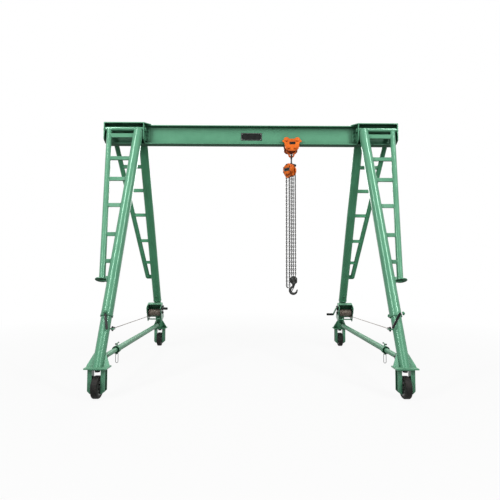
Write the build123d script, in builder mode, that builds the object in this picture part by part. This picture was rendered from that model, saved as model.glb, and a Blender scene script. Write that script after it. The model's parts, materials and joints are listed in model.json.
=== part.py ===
"""Portable adjustable gantry crane: an I-beam on two hinged A-frames with casters.

Millimetres. X runs along the beam, -Y is the front, Z is up.
The origin is on the floor, under the middle of the beam.
"""

import math
import os

from build123d import *

os.makedirs("parts", exist_ok=True)

# Which way each side and each end lies
SIDES = {"left": -1, "right": 1}
ENDS = {"front": -1, "rear": 1}

# Fits, and how near an edge must lie to a face to count as on it
pin_fit = 0.4
plate_fit = 0.3
running_gap = 6.0
on_face = 0.1

# Main beam, a rolled joist with tapered flanges
beam_length = 3658.0
beam_depth = 237.0
flange_width = 112.0
flange_tip = 9.0
flange_root = 17.0
web_thickness = 8.0
web_fillet = 8.0
beam_underside = 2755.0

# Headers that tie the beam to the A-frames
header_length = 498.0
header_plate = 10.0
header_edge = 40.0
header_corner = 36.0
cover_thickness = 10.0
cover_taper = 75.0
clip_leg = 50.0
clip_thickness = 8.0
clip_margin = 22.0
pivot_y = 88.0
pivot_drop = 69.0
pivot_bar_diameter = 38.0
pivot_nut_corners = 57.0
pivot_nut_height = 16.0
nut_sides = 6

# Ladder legs, hinged on the pivot bars
leg_gap = 5.85
leg_lean = 24.47
sleeve_diameter = 60.3
leg_diameter = 114.3
leg_wall = 6.0
leg_below_pivot = 14.0
leg_cap = 8.0
rail_diameter = 63.5
rail_gap = 17.25
rail_below_pivot = 24.0
rail_foot_offset = 110.0
rail_over_foot = 362.0
front_rungs = (421.0, 700.0, 1031.0, 1372.0, 1664.0)
rear_rungs = (381.0, 673.0, 989.0, 1334.0, 1639.0)
rung_depth = 42.0
rung_width = 32.0
head_bar_drop = 96.0
head_bar_depth = 50.0
ear_radius = 30.0
ear_thickness = 14.0
weld_bite = 3.0

# Lower legs that slide in the ladder legs
lower_diameter = 101.6
lower_wall = 6.0
lower_insert = 450.0
lock_bolt_diameter = 20.0
front_bolt_rise = 25.0
rear_bolt_rise = 100.0
lock_bolt_proud = 12.0
right_lock_turn = 55.0
lever_width = 22.0
lever_thickness = 8.0
lever_out = 45.0
lever_length = 160.0
foot_length = 210.0
foot_width = 130.0
foot_thickness = 12.0
foot_shift = 10.0
gusset_height = 125.0
gusset_thickness = 10.0

# Casters
wheel_diameter = 203.2
wheel_width = 60.0
tyre_depth = 30.0
tyre_round = 12.0
hub_diameter = 58.0
hub_web = 26.0
hub_rim = 12.0
hub_side_gap = 1.0
axle_diameter = 20.0
kingpin_diameter = 24.0
kingpin_nut = 36.0
kingpin_nut_height = 18.0
wheel_headroom = 34.2
fork_gap = 80.0
fork_leg = 40.0
fork_depth = 62.0
fork_wall = 6.0
fork_plate = 8.0
fork_foot = 48.0
fork_chamfer = 24.0
race_diameter = 74.0
race_height = 6.0

# Telescoping spreader between the lower legs
spreader_over_plate = 58.0
spreader_diameter = 60.3
spreader_bore = 49.3
spreader_inner = 48.3
spreader_inner_wall = 5.0
spreader_shown = 350.0
spreader_insert = 400.0
lug_reach = 76.0
lug_radius = 28.0
lug_thickness = 10.0
lug_gap = 36.0
lug_pin = 20.0
eye_neck = 46.0
eye_height = 38.6
collar_diameter = 76.0
collar_length = 42.0
clamp_screw = 14.0
clamp_rise = 22.0
clamp_bar = 10.0
clamp_bar_length = 90.0
keeper_lug = 16.0
clip_wire = 5.0
clip_width = 26.0
clip_drop = 95.0

# Hand winches on the rear lower legs
winch_over_spreader = 256.5
winch_height = 244.0
winch_plate = 8.0
winch_inner_x = 90.0
winch_outer_x = 123.0
winch_reach = 150.0
winch_corner = 30.0
winch_tie = 18.0
winch_bridge = 60.0
drum_shaft = 24.0
drum_core = 54.0
drum_flange = 118.0
drum_flange_thickness = 6.0
rope_pack = 92.0
drum_out = 82.0
crank_shaft = 22.0
crank_up = 72.0
crank_arm = 235.0
crank_arm_width = 30.0
crank_arm_thickness = 10.0
crank_stub = 26.0
grip_diameter = 30.0
grip_length = 95.0
left_crank_turn = 118.0
right_crank_turn = -38.0
cable_diameter = 8.0
cable_lug_rise = 602.0
cable_lug_reach = 34.0
cable_lug_thickness = 10.0
cable_lug_width = 40.0

# Push trolley
trolley_x = 511.0
trolley_wheel = 62.0
trolley_flange = 78.0
trolley_wheel_spacing = 136.0
trolley_wheel_width = 26.0
trolley_flange_thickness = 8.0
trolley_flange_gap = 5.0
trolley_wheel_gap = 2.0
trolley_plate = 10.0
trolley_lobe = 37.0
trolley_dip = 17.0
trolley_ear_width = 242.0
trolley_ear_drop = 7.0
trolley_ear_edge = 10.0
trolley_neck_width = 188.0
trolley_neck_drop = 33.0
trolley_waist = 170.0
trolley_corner_rise = 28.0
trolley_corner_in = 25.0
trolley_drop = 83.0
trolley_axle = 26.0
tie_bolt = 22.0
tie_spacing = 84.0
tie_drop = 55.0
eye_drop = 115.0
eye_bore = 44.0
eye_diameter = 84.0
eye_thickness = 16.0

# Chain hoist
hoist_shift = -17.0
hoist_drop = 210.0
hoist_turn = 40.0
cover_diameter = 160.0
cover_lift = 8.0
cover_depth = 22.0
guide_diameter = 90.0
guide_drop = 52.0
dish_diameter = 146.0
dish_depth = 16.0
dish_round = 9.0
case_diameter = 136.0
case_depth = 34.0
case_round = 14.0
block_width = 104.0
block_height = 150.0
block_depth = 40.0
block_round = 17.0
hook_wire = 18.0
top_hook_radius = 28.0
top_hook_sweep = 305.0
hand_chain_width = 18.0
hand_chain_offset = 24.0
hand_chain_drop = 1485.0
load_chain_width = 22.0
load_chain_spread = 25.0
load_chain_length = 1256.0
load_shift = 40.0
load_block_height = 104.0
load_block_length = 86.0
load_block_depth = 56.0
load_block_corner = 26.0
swivel_diameter = 34.0
swivel_height = 16.0
load_hook_wire = 22.0
load_hook_radius = 43.0
load_hook_drop = 127.0
load_hook_sweep = 255.0

# Levels and places along the beam that follow from the sizes above
beam_top = beam_underside + beam_depth
pivot_z = beam_top - pivot_drop
beam_end = beam_length / 2
header_inner = beam_end - header_length
header_width = 2 * (pivot_y + header_edge)
lean = math.radians(leg_lean)
leg_radius = leg_diameter / 2
rail_radius = rail_diameter / 2
lower_radius = lower_diameter / 2
leg_x = header_inner + header_plate + leg_gap + leg_radius
rail_top_offset = beam_end - header_plate - rail_gap - rail_radius - leg_x
sleeve_start = header_inner + header_plate + pin_fit
sleeve_end = beam_end - header_plate - pin_fit

# Levels from the floor up: wheel, fork, foot plate, spreader, winch and the foot of the ladder leg
wheel_radius = wheel_diameter / 2
fork_under = wheel_diameter + wheel_headroom + kingpin_nut_height + plate_fit
fork_top = fork_under + fork_plate
foot_under = fork_top + race_height + plate_fit
foot_rise = foot_under + foot_thickness
spreader_rise = foot_rise + spreader_over_plate
winch_rise = spreader_rise + winch_over_spreader
winch_below_sleeve = winch_height / 2 + running_gap
leg_foot = winch_rise + winch_below_sleeve * math.cos(lean)
leg_reach = pivot_z - leg_foot
rail_reach = leg_reach - rail_over_foot
rungs = {-1: front_rungs, 1: rear_rungs}
bolt_rises = {-1: front_bolt_rise, 1: rear_bolt_rise}


def along_leg(drop):
    """Distance down the leg's axis for a vertical drop below the pivot."""
    return drop / math.cos(lean)


def leg_point(side, end, out, down, inward=0.0):
    """A point of a leg: out along X, down its axis, and square off it towards the middle."""
    y = pivot_y + down * math.sin(lean) - inward * math.cos(lean)
    z = pivot_z - down * math.cos(lean) - inward * math.sin(lean)
    return Vector(side * (leg_x + out), end * y, z)


def leg_section(side, end, down):
    """Plane square to the leg's axis, facing down it."""
    axis = leg_point(side, end, 0, 1) - leg_point(side, end, 0, 0)
    return Plane(leg_point(side, end, 0, down), x_dir=(side, 0, 0), z_dir=axis)


def leg_face(side, end, down):
    """Plane of the ladder, with x outwards along X and y up the leg."""
    square = leg_point(side, end, 0, 0, 1) - leg_point(side, end, 0, 0)
    return Plane(leg_point(side, end, 0, down), x_dir=(side, 0, 0), z_dir=square * (side * end))


def lock_plane(side, end):
    """Plane square to a lock bolt, at the leg's axis, with y up the leg."""
    plane = leg_face(side, end, along_leg(leg_reach) - bolt_rises[end])
    turn = right_lock_turn if side > 0 > end else 0.0
    return plane.rotated((0, turn, 0))


def axis_y(rise):
    """How far from the middle a leg's axis is at a height."""
    return pivot_y + (pivot_z - rise) * math.tan(lean)


def rail_offset(down):
    """Distance of the ladder's outer rail from the leg's axis."""
    share = down / along_leg(rail_reach)
    return rail_top_offset + share * (rail_foot_offset - rail_top_offset)


def beam_profile(grow=0.0):
    """Outline of the rolled joist at its height, or that much larger all round."""
    half = flange_width / 2 + grow
    web = web_thickness / 2 + grow
    tip = flange_tip + grow
    root = flange_root + grow
    quarter = [(half, -grow), (half, tip), (web, root)]
    right = quarter + [(y, beam_depth - z) for y, z in reversed(quarter)]
    left = [(-y, z) for y, z in reversed(right)]
    return [(y, beam_underside + z) for y, z in right + left]


def save(piece, name):
    """Label a finished piece and write it to its own file."""
    piece.label = name
    export_step(piece, f"parts/{name}.step")


# Main beam
with BuildPart() as main_beam:
    with BuildSketch(Plane.YZ.offset(-beam_end + header_plate)):
        with BuildLine():
            Polyline(*beam_profile(), close=True)
        make_face()
    extrude(amount=beam_length - 2 * header_plate)
    roots = main_beam.edges().filter_by(Axis.X)
    inner = roots.filter_by(lambda edge: abs(abs(edge.center().Y) - web_thickness / 2) < on_face)
    fillet(inner, web_fillet)
save(main_beam.part, "main_beam")


def header_cover(side):
    """Plate over the beam's end, narrowing to the flange at its inner end."""
    wide = header_width / 2
    narrow = flange_width / 2
    outline = [
        (side * beam_end, -wide),
        (side * beam_end, wide),
        (side * header_inner, wide),
        (side * (header_inner - cover_taper), narrow),
        (side * (header_inner - cover_taper), -narrow),
        (side * header_inner, -wide),
    ]
    with BuildPart() as cover:
        with BuildSketch(Plane.XY.offset(beam_top)):
            with BuildLine():
                Polyline(*outline, close=True)
            make_face()
        extrude(amount=cover_thickness)
    return cover.part


def header_end_plate(side, face, holds_beam):
    """Cross plate of a header, bored for the pivot bars."""
    wide = header_width / 2
    foot = flange_width / 2 + running_gap
    outline = [
        (-foot, beam_underside),
        (foot, beam_underside),
        (wide, beam_underside + header_corner),
        (wide, beam_top),
        (-wide, beam_top),
        (-wide, beam_underside + header_corner),
    ]
    with BuildPart() as plate:
        with BuildSketch(Plane.YZ.offset(face if side > 0 else -face - header_plate)):
            with BuildLine():
                Polyline(*outline, close=True)
            make_face()
            with Locations((-pivot_y, pivot_z), (pivot_y, pivot_z)):
                Circle(pivot_bar_diameter / 2 + pin_fit, mode=Mode.SUBTRACT)
            if holds_beam:
                with BuildLine():
                    Polyline(*beam_profile(plate_fit), close=True)
                make_face(mode=Mode.SUBTRACT)
        extrude(amount=header_plate)
        if holds_beam:
            flutes = plate.edges().filter_by(Axis.X)
            notch = web_thickness / 2 + plate_fit
            fillet(
                flutes.filter_by(lambda edge: abs(abs(edge.center().Y) - notch) < on_face),
                web_fillet - plate_fit,
            )
    return plate.part


def pivot_bars(side):
    """Two bars that the legs hinge on, one in front of the beam and one behind."""
    start = header_inner - pivot_nut_height
    with BuildPart() as bars:
        with BuildSketch(Plane.YZ.offset(start if side > 0 else -beam_end)):
            with Locations((-pivot_y, pivot_z), (pivot_y, pivot_z)):
                Circle(pivot_bar_diameter / 2)
        extrude(amount=beam_end - start)
        with BuildSketch(Plane.YZ.offset(start if side > 0 else -header_inner + plate_fit)):
            with Locations((-pivot_y, pivot_z), (pivot_y, pivot_z)):
                RegularPolygon(pivot_nut_corners / 2, nut_sides)
        extrude(amount=pivot_nut_height - plate_fit)
    return bars.part


def clip_angles():
    """Angles that bolt each inner header plate to the beam's web."""
    foot = web_thickness / 2 + plate_fit
    low = beam_underside + flange_root + clip_margin
    with BuildPart() as clips:
        for side in SIDES.values():
            for end in ENDS.values():
                back = side * (header_inner - plate_fit)
                outline = [
                    (back, end * foot),
                    (back, end * (foot + clip_leg)),
                    (back - side * clip_thickness, end * (foot + clip_leg)),
                    (back - side * clip_thickness, end * (foot + clip_thickness)),
                    (back - side * clip_leg, end * (foot + clip_thickness)),
                    (back - side * clip_leg, end * foot),
                ]
                with BuildSketch(Plane.XY.offset(low)):
                    with BuildLine():
                        Polyline(*outline, close=True)
                    make_face()
                extrude(amount=beam_depth - 2 * (flange_root + clip_margin))
    return clips.part


for side_name, side in SIDES.items():
    save(header_cover(side), f"{side_name}_header_cover")
    plates = [
        header_end_plate(side, header_inner, True),
        header_end_plate(side, beam_end - header_plate, False),
    ]
    save(Compound(children=plates), f"{side_name}_header_plates")
    save(pivot_bars(side), f"{side_name}_pivot_bars")
save(clip_angles(), "beam_clip_angles")


def ladder_leg(side, end):
    """Leg sleeve, outer rail and rungs, welded to the hinge tube they hang from."""
    rail_foot = along_leg(rail_reach)
    rail_start = leg_point(side, end, rail_offset(rail_below_pivot), rail_below_pivot)
    rail_end = leg_point(side, end, rail_foot_offset, rail_foot)
    rail_plane = Plane(rail_start, z_dir=rail_end - rail_start)
    across = (side, 0, 0)
    hinge = Plane(Vector(side * sleeve_start, end * pivot_y, pivot_z), z_dir=across)
    with BuildPart() as leg:
        with BuildSketch(leg_section(side, end, leg_below_pivot)):
            Circle(leg_radius)
        extrude(amount=along_leg(leg_reach) - leg_below_pivot)
        with BuildSketch(rail_plane):
            Circle(rail_radius)
        extrude(amount=(rail_end - rail_start).length)
        with BuildSketch(hinge):
            Circle(sleeve_diameter / 2)
        extrude(amount=sleeve_end - sleeve_start)
        for drop in rungs[end]:
            if drop > rail_reach - rung_depth:
                break
            down = along_leg(drop)
            with BuildSketch(Plane(leg_point(side, end, 0, down), x_dir=(0, 0, 1), z_dir=across)):
                Rectangle(rung_depth, rung_width)
            extrude(amount=rail_offset(down))
        head_bar = along_leg(head_bar_drop)
        with BuildSketch(Plane(leg_point(side, end, 0, head_bar), x_dir=(0, 0, 1), z_dir=across)):
            Rectangle(head_bar_depth, rung_width)
        extrude(amount=rail_offset(head_bar))
        with BuildSketch(leg_face(side, end, rail_foot)):
            with Locations((rail_foot_offset, 0)):
                Circle(ear_radius)
            with Locations((rail_foot_offset / 2, 0)):
                Rectangle(rail_foot_offset, 2 * ear_radius)
        extrude(amount=ear_thickness / 2, both=True)
        with BuildSketch(leg_section(side, end, leg_cap + sleeve_diameter / 2)):
            Circle(leg_radius - leg_wall)
        extrude(amount=along_leg(leg_reach), mode=Mode.SUBTRACT)
        with BuildSketch(hinge):
            Circle(pivot_bar_diameter / 2 + pin_fit)
        extrude(amount=sleeve_end - sleeve_start, mode=Mode.SUBTRACT)
        with BuildSketch(lock_plane(side, end)):
            Circle(lock_bolt_diameter / 2 + pin_fit)
        extrude(amount=leg_diameter, both=True, mode=Mode.SUBTRACT)
    return leg.part


def lower_leg(side, end):
    """Sliding tube with its foot plate, gussets, kingpin and the lugs welded to it."""
    top = along_leg(leg_reach - lower_insert)
    foot_down = along_leg(pivot_z - foot_rise)
    foot_y = axis_y(foot_rise) + foot_shift
    pivot_reach = axis_y(spreader_rise) - lower_radius / math.cos(lean) - lug_reach
    bite = lower_radius - weld_bite
    slope = gusset_height / math.cos(lean)
    with BuildPart() as leg:
        with BuildSketch(leg_section(side, end, top)):
            Circle(lower_radius)
        extrude(amount=foot_down - top + lower_diameter)
        with BuildSketch(leg_face(side, end, foot_down)):
            for way in (-1, 1):
                with BuildLine():
                    Polyline(
                        (way * bite, -lower_radius),
                        (way * foot_length / 2, -lower_radius),
                        (way * foot_length / 2, gusset_thickness),
                        (way * bite, slope),
                        close=True,
                    )
                make_face()
        extrude(amount=gusset_thickness / 2, both=True)
        split(bisect_by=Plane.XY.offset(foot_rise), keep=Keep.TOP)
        for way in (-1, 1):
            start = side * leg_x + way * (lug_gap + lug_thickness) / 2 - lug_thickness / 2
            with BuildSketch(Plane.YZ.offset(start)):
                with Locations((end * pivot_reach, spreader_rise)):
                    Circle(lug_radius)
                with BuildLine():
                    Polyline(
                        (end * pivot_reach, spreader_rise - lug_radius),
                        (end * axis_y(spreader_rise - lug_radius), spreader_rise - lug_radius),
                        (end * axis_y(spreader_rise + lug_radius), spreader_rise + lug_radius),
                        (end * pivot_reach, spreader_rise + lug_radius),
                        close=True,
                    )
                make_face()
            extrude(amount=lug_thickness)
        pin_start = side * leg_x - lug_gap / 2 - lug_thickness
        with BuildSketch(Plane.YZ.offset(pin_start)):
            with Locations((end * pivot_reach, spreader_rise)):
                Circle(lug_pin / 2)
        extrude(amount=lug_gap + 2 * lug_thickness)
        if end < 0:
            lug_y = end * (axis_y(cable_lug_rise) - cable_lug_width / 2)
            with BuildSketch(Plane.XY.offset(cable_lug_rise - cable_lug_thickness / 2)):
                with Locations((side * (leg_x - (lower_radius + cable_lug_reach) / 2), lug_y)):
                    Rectangle(lower_radius + cable_lug_reach, cable_lug_width)
            extrude(amount=cable_lug_thickness)
        with BuildSketch(leg_section(side, end, top)):
            Circle(lower_radius - lower_wall)
        extrude(amount=foot_down - top + lower_diameter, mode=Mode.SUBTRACT)
        with BuildSketch(Plane.XY.offset(foot_under)):
            with Locations((side * leg_x, end * foot_y)):
                Rectangle(foot_length, foot_width)
        extrude(amount=foot_thickness)
        with BuildSketch(Plane.XY.offset(fork_under - plate_fit - kingpin_nut_height)):
            with Locations((side * leg_x, end * foot_y)):
                RegularPolygon(kingpin_nut / 2, nut_sides, major_radius=False)
        extrude(amount=kingpin_nut_height)
        with BuildSketch(Plane.XY.offset(fork_under - plate_fit)):
            with Locations((side * leg_x, end * foot_y)):
                Circle(kingpin_diameter / 2)
        extrude(amount=foot_under - fork_under + plate_fit)
        with BuildSketch(lock_plane(side, end)):
            Circle(lock_bolt_diameter / 2 + pin_fit)
        extrude(amount=leg_diameter, both=True, mode=Mode.SUBTRACT)
    return leg.part


def lock_bolt(side, end):
    """Cross bolt that holds the lower leg at its height, with a hanging lever on the front ones."""
    half = leg_radius + lock_bolt_proud
    forward = -side * end
    plane = lock_plane(side, end)
    with BuildPart() as bolt:
        with BuildSketch(plane):
            Circle(lock_bolt_diameter / 2)
        extrude(amount=half, both=True)
        if end < 0:
            tip = (side * lever_out, -lever_length)
            with BuildSketch(plane.offset(forward * half)):
                SlotCenterPoint((tip[0] / 2, tip[1] / 2), tip, lever_width)
            extrude(amount=-forward * lever_thickness)
    return bolt.part


def caster_fork(side, end):
    """Swivel fork: top plate, race, two channel legs and the axle between them."""
    x = side * leg_x
    y = end * (axis_y(foot_rise) + foot_shift)
    reach = fork_gap / 2 + fork_leg
    with BuildPart() as fork:
        with BuildSketch(Plane.XY.offset(fork_under)):
            with Locations((x, y)):
                Rectangle(2 * reach, fork_depth)
        extrude(amount=fork_plate)
        with BuildSketch(Plane.XY.offset(fork_top)):
            with Locations((x, y)):
                Circle(race_diameter / 2)
        extrude(amount=race_height)
        with BuildSketch(Plane.XY.offset(fork_foot)):
            for way in (-1, 1):
                with Locations((x + way * (fork_gap + fork_leg) / 2, y)):
                    Rectangle(fork_leg, fork_depth)
                with Locations((x + way * (reach - (fork_leg - fork_wall) / 2), y)):
                    Rectangle(fork_leg - fork_wall, fork_depth - 2 * fork_wall, mode=Mode.SUBTRACT)
        extrude(amount=fork_under - fork_foot)
        lowest = fork.edges().filter_by(Axis.Y).group_by(Axis.Z)[0]
        corners = lowest.filter_by(lambda edge: abs(abs(edge.center().X - x) - reach) < on_face)
        chamfer(corners, fork_chamfer)
        with BuildSketch(Plane.YZ.offset(x - fork_gap / 2 - fork_wall - running_gap)):
            with Locations((y, wheel_radius)):
                Circle(axle_diameter / 2)
        extrude(amount=fork_gap + 2 * (fork_wall + running_gap))
        with BuildSketch(Plane.XY.offset(fork_under)):
            with Locations((x, y)):
                Circle(kingpin_diameter / 2 + pin_fit)
        extrude(amount=fork_plate + race_height, mode=Mode.SUBTRACT)
    return fork.part


def wheel_profile(x, y):
    """Plane through the wheel's axle, with x along the axle and y up."""
    return Plane(Vector(x, y, wheel_radius), x_dir=(1, 0, 0), z_dir=(0, -1, 0))


def caster_tyre(side, end):
    """Solid rubber tyre with rounded shoulders."""
    x = side * leg_x
    y = end * (axis_y(foot_rise) + foot_shift)
    with BuildPart() as tyre:
        with BuildSketch(wheel_profile(x, y)) as section:
            with Locations((0, wheel_radius - tyre_depth / 2)):
                Rectangle(wheel_width, tyre_depth)
            crown = section.vertices().sort_by(Axis.Y)[-2:]
            fillet(crown, tyre_round)
        revolve(axis=Axis((x, y, wheel_radius), (1, 0, 0)))
    return tyre.part


def caster_hub(side, end):
    """Cast wheel centre with a dished web and a boss bored for the axle."""
    x = side * leg_x
    y = end * (axis_y(foot_rise) + foot_shift)
    rim = wheel_radius - tyre_depth
    boss = fork_gap / 2 - hub_side_gap
    bore = axle_diameter / 2 + pin_fit
    with BuildPart() as hub:
        with BuildSketch(wheel_profile(x, y)):
            with Locations((0, rim - hub_rim / 2)):
                Rectangle(wheel_width, hub_rim)
            with Locations((0, (rim + bore) / 2)):
                Rectangle(hub_web, rim - bore)
            with Locations((0, (hub_diameter / 2 + bore) / 2)):
                Rectangle(2 * boss, hub_diameter / 2 - bore)
        revolve(axis=Axis((x, y, wheel_radius), (1, 0, 0)))
    return hub.part


for side_name, side in SIDES.items():
    for end_name, end in ENDS.items():
        corner = f"{side_name}_{end_name}"
        save(ladder_leg(side, end), f"{corner}_ladder_leg")
        save(lower_leg(side, end), f"{corner}_lower_leg")
        save(lock_bolt(side, end), f"{corner}_lock_bolt")
        save(caster_fork(side, end), f"{corner}_caster_fork")
        save(caster_tyre(side, end), f"{corner}_tyre")
        save(caster_hub(side, end), f"{corner}_wheel_hub")


spreader_pivot = axis_y(spreader_rise) - lower_radius / math.cos(lean) - lug_reach
collar_y = -spreader_pivot + spreader_shown
eye_width = lug_gap - 2 * pin_fit


def spreader_eye(end):
    """Sketch of the eye that a spreader tube hangs on, seen along X."""
    with BuildSketch(mode=Mode.PRIVATE) as eye:
        with Locations((end * spreader_pivot, spreader_rise)):
            Circle(lug_radius - plate_fit)
        with Locations((end * (spreader_pivot - eye_neck / 2), spreader_rise)):
            Rectangle(eye_neck, eye_height)
        with Locations((end * spreader_pivot, spreader_rise)):
            Circle(lug_pin / 2 + pin_fit, mode=Mode.SUBTRACT)
    return eye.sketch


def spreader_outer_tube(side):
    """Outer spreader tube with its eye, mouth collar and clamp screw."""
    x = side * leg_x
    tube_end = spreader_pivot - eye_neck
    mouth = Plane(Vector(x, collar_y, spreader_rise), z_dir=(0, 1, 0))
    screw_y = collar_y + collar_length / 2
    tip = spreader_rise + spreader_inner / 2 + pin_fit
    bar_z = spreader_rise + collar_diameter / 2 + clamp_rise
    with BuildPart() as tube:
        with BuildSketch(mouth):
            Circle(spreader_diameter / 2)
        extrude(amount=tube_end - collar_y)
        with BuildSketch(mouth):
            Circle(collar_diameter / 2)
        extrude(amount=collar_length)
        with BuildSketch(mouth):
            Circle(spreader_bore / 2)
        extrude(amount=tube_end - collar_y - eye_neck, mode=Mode.SUBTRACT)
        with BuildSketch(Plane.YZ.offset(x)):
            add(spreader_eye(1))
        extrude(amount=eye_width / 2, both=True)
        with BuildSketch(Plane.XY.offset(tip)):
            with Locations((x, screw_y)):
                Circle(clamp_screw / 2)
        extrude(amount=bar_z - tip)
        with BuildSketch(Plane(Vector(x, screw_y - clamp_bar_length / 2, bar_z), z_dir=(0, 1, 0))):
            Circle(clamp_bar / 2)
        extrude(amount=clamp_bar_length)
        with BuildSketch(Plane.XY.offset(spreader_rise - collar_diameter / 2 - keeper_lug)):
            with Locations((x, screw_y)):
                Rectangle(clip_wire, 2 * keeper_lug)
        extrude(amount=2 * keeper_lug)
        with BuildSketch(mouth):
            Circle(spreader_bore / 2)
        extrude(amount=collar_length, mode=Mode.SUBTRACT)
        with BuildSketch(Plane.XY.offset(tip)):
            with Locations((x, screw_y)):
                Circle(clamp_screw / 2)
        extrude(amount=spreader_diameter / 2 - spreader_inner / 2)
        with BuildSketch(Plane.YZ.offset(x)):
            with Locations((screw_y, spreader_rise - collar_diameter / 2 - keeper_lug / 2)):
                Circle(clip_wire / 2 + pin_fit)
        extrude(amount=collar_diameter, both=True, mode=Mode.SUBTRACT)
    return tube.part


def spreader_inner_tube(side):
    """Inner spreader tube, sliding in the outer one from the front leg."""
    x = side * leg_x
    tube_start = -spreader_pivot + eye_neck
    length = spreader_shown - eye_neck + spreader_insert
    start = Plane(Vector(x, tube_start, spreader_rise), z_dir=(0, 1, 0))
    with BuildPart() as tube:
        with BuildSketch(start):
            Circle(spreader_inner / 2)
        extrude(amount=length)
        with BuildSketch(start.offset(eye_neck)):
            Circle(spreader_inner / 2 - spreader_inner_wall)
        extrude(amount=length, mode=Mode.SUBTRACT)
        with BuildSketch(Plane.YZ.offset(x)):
            add(spreader_eye(-1))
        extrude(amount=eye_width / 2, both=True)
    return tube.part


def keeper_clip(side):
    """Wire keeper hanging from the collar's lug."""
    x = side * leg_x
    screw_y = collar_y + collar_length / 2
    top = spreader_rise - collar_diameter / 2 - keeper_lug / 2
    half = clip_width / 2
    with BuildPart() as clip:
        with BuildSketch(Plane(Vector(x - half, screw_y, top), z_dir=(1, 0, 0))):
            Circle(clip_wire / 2)
        extrude(amount=clip_width)
        for way in (-1, 1):
            with BuildSketch(Plane.XY.offset(top - clip_drop + half)):
                with Locations((x + way * half, screw_y)):
                    Circle(clip_wire / 2)
            extrude(amount=clip_drop - half)
            with Locations((x + way * half, screw_y, top)):
                Sphere(clip_wire / 2)
        with BuildSketch(Plane.XY.offset(top - clip_drop + half)):
            with Locations((x + half, screw_y)):
                Circle(clip_wire / 2)
        revolve(axis=Axis((x, screw_y, top - clip_drop + half), (0, 1, 0)), revolution_arc=180)
    return clip.part


winch_down = along_leg(leg_reach) + winch_below_sleeve
winch_base = lower_radius + plate_fit
drum_in = winch_base + drum_out


def winch_plane(side, out):
    """Plane across a winch, square to X, with x down the leg and y towards the middle."""
    origin = leg_point(side, 1, out, winch_down)
    down = leg_point(side, 1, out, winch_down + 1) - origin
    return Plane(origin, x_dir=down, z_dir=(side, 0, 0))


def winch_inward(side):
    """Sign that the winch plane gives to distances towards the middle."""
    plane = winch_plane(side, 0)
    square = leg_point(side, 1, 0, winch_down, 1) - plane.origin
    return 1 if plane.y_dir.dot(square) > 0 else -1


def winch_frame(side):
    """Folded winch frame: a back plate on the leg and two rounded cheeks."""
    way = winch_inward(side)
    half = winch_height / 2
    with BuildPart() as frame:
        with BuildSketch(winch_plane(side, -winch_inner_x)):
            with Locations((0, way * (winch_base + winch_plate / 2))):
                Rectangle(winch_height, winch_plate)
        extrude(amount=winch_inner_x + winch_outer_x)
        for out in (-winch_inner_x, winch_outer_x - winch_plate):
            with BuildSketch(winch_plane(side, out)) as cheek:
                with Locations((0, way * (winch_base + winch_reach / 2))):
                    Rectangle(winch_height, winch_reach)
                far = cheek.vertices().sort_by(Axis.Y, reverse=way > 0)[:2]
                fillet(far, winch_corner)
                with Locations((0, way * drum_in)):
                    Circle(drum_shaft / 2 + pin_fit, mode=Mode.SUBTRACT)
                with Locations((-crank_up, way * drum_in)):
                    Circle(crank_shaft / 2 + pin_fit, mode=Mode.SUBTRACT)
            extrude(amount=winch_plate)
        with BuildSketch(winch_plane(side, -winch_inner_x)):
            with Locations((half - winch_corner, way * (winch_base + winch_reach - winch_corner))):
                Circle(winch_tie / 2)
            with Locations(((winch_plate - winch_height) / 2, way * (winch_base + winch_bridge / 2))):
                Rectangle(winch_plate, winch_bridge)
        extrude(amount=winch_inner_x + winch_outer_x)
    return frame.part


def winch_drum(side):
    """Rope drum with its shaft, two flanges and the rope wound on it."""
    way = winch_inward(side)
    inner = -winch_inner_x + winch_plate + running_gap
    outer = winch_outer_x - winch_plate - running_gap
    shaft_start = -winch_inner_x
    steps = [
        (shaft_start, winch_outer_x, drum_shaft),
        (inner, outer, drum_core),
        (inner, inner + drum_flange_thickness, drum_flange),
        (outer - drum_flange_thickness, outer, drum_flange),
        (inner + drum_flange_thickness, outer - drum_flange_thickness, rope_pack),
    ]
    with BuildPart() as drum:
        for start, stop, diameter in steps:
            with BuildSketch(winch_plane(side, start)):
                with Locations((0, way * drum_in)):
                    Circle(diameter / 2)
            extrude(amount=stop - start)
    return drum.part


def winch_crank(side, turn):
    """Crank handle: shaft, flat arm and a round grip."""
    way = winch_inward(side)
    arm_out = -winch_inner_x - crank_stub
    arm_end = (
        -crank_up + crank_arm * math.cos(math.radians(turn)),
        way * (drum_in + crank_arm * math.sin(math.radians(turn))),
    )
    middle = ((arm_end[0] - crank_up) / 2, (arm_end[1] + way * drum_in) / 2)
    with BuildPart() as crank:
        with BuildSketch(winch_plane(side, arm_out)):
            with Locations((-crank_up, way * drum_in)):
                Circle(crank_shaft / 2)
        extrude(amount=-winch_inner_x + winch_plate + running_gap - arm_out)
        with BuildSketch(winch_plane(side, arm_out - crank_arm_thickness)):
            with Locations(Location((middle[0], middle[1], 0), (0, 0, way * turn))):
                SlotCenterToCenter(crank_arm, crank_arm_width)
        extrude(amount=crank_arm_thickness)
        with BuildSketch(winch_plane(side, arm_out - crank_arm_thickness - grip_length)):
            with Locations(arm_end):
                Circle(grip_diameter / 2)
        extrude(amount=grip_length)
    return crank.part


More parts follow.
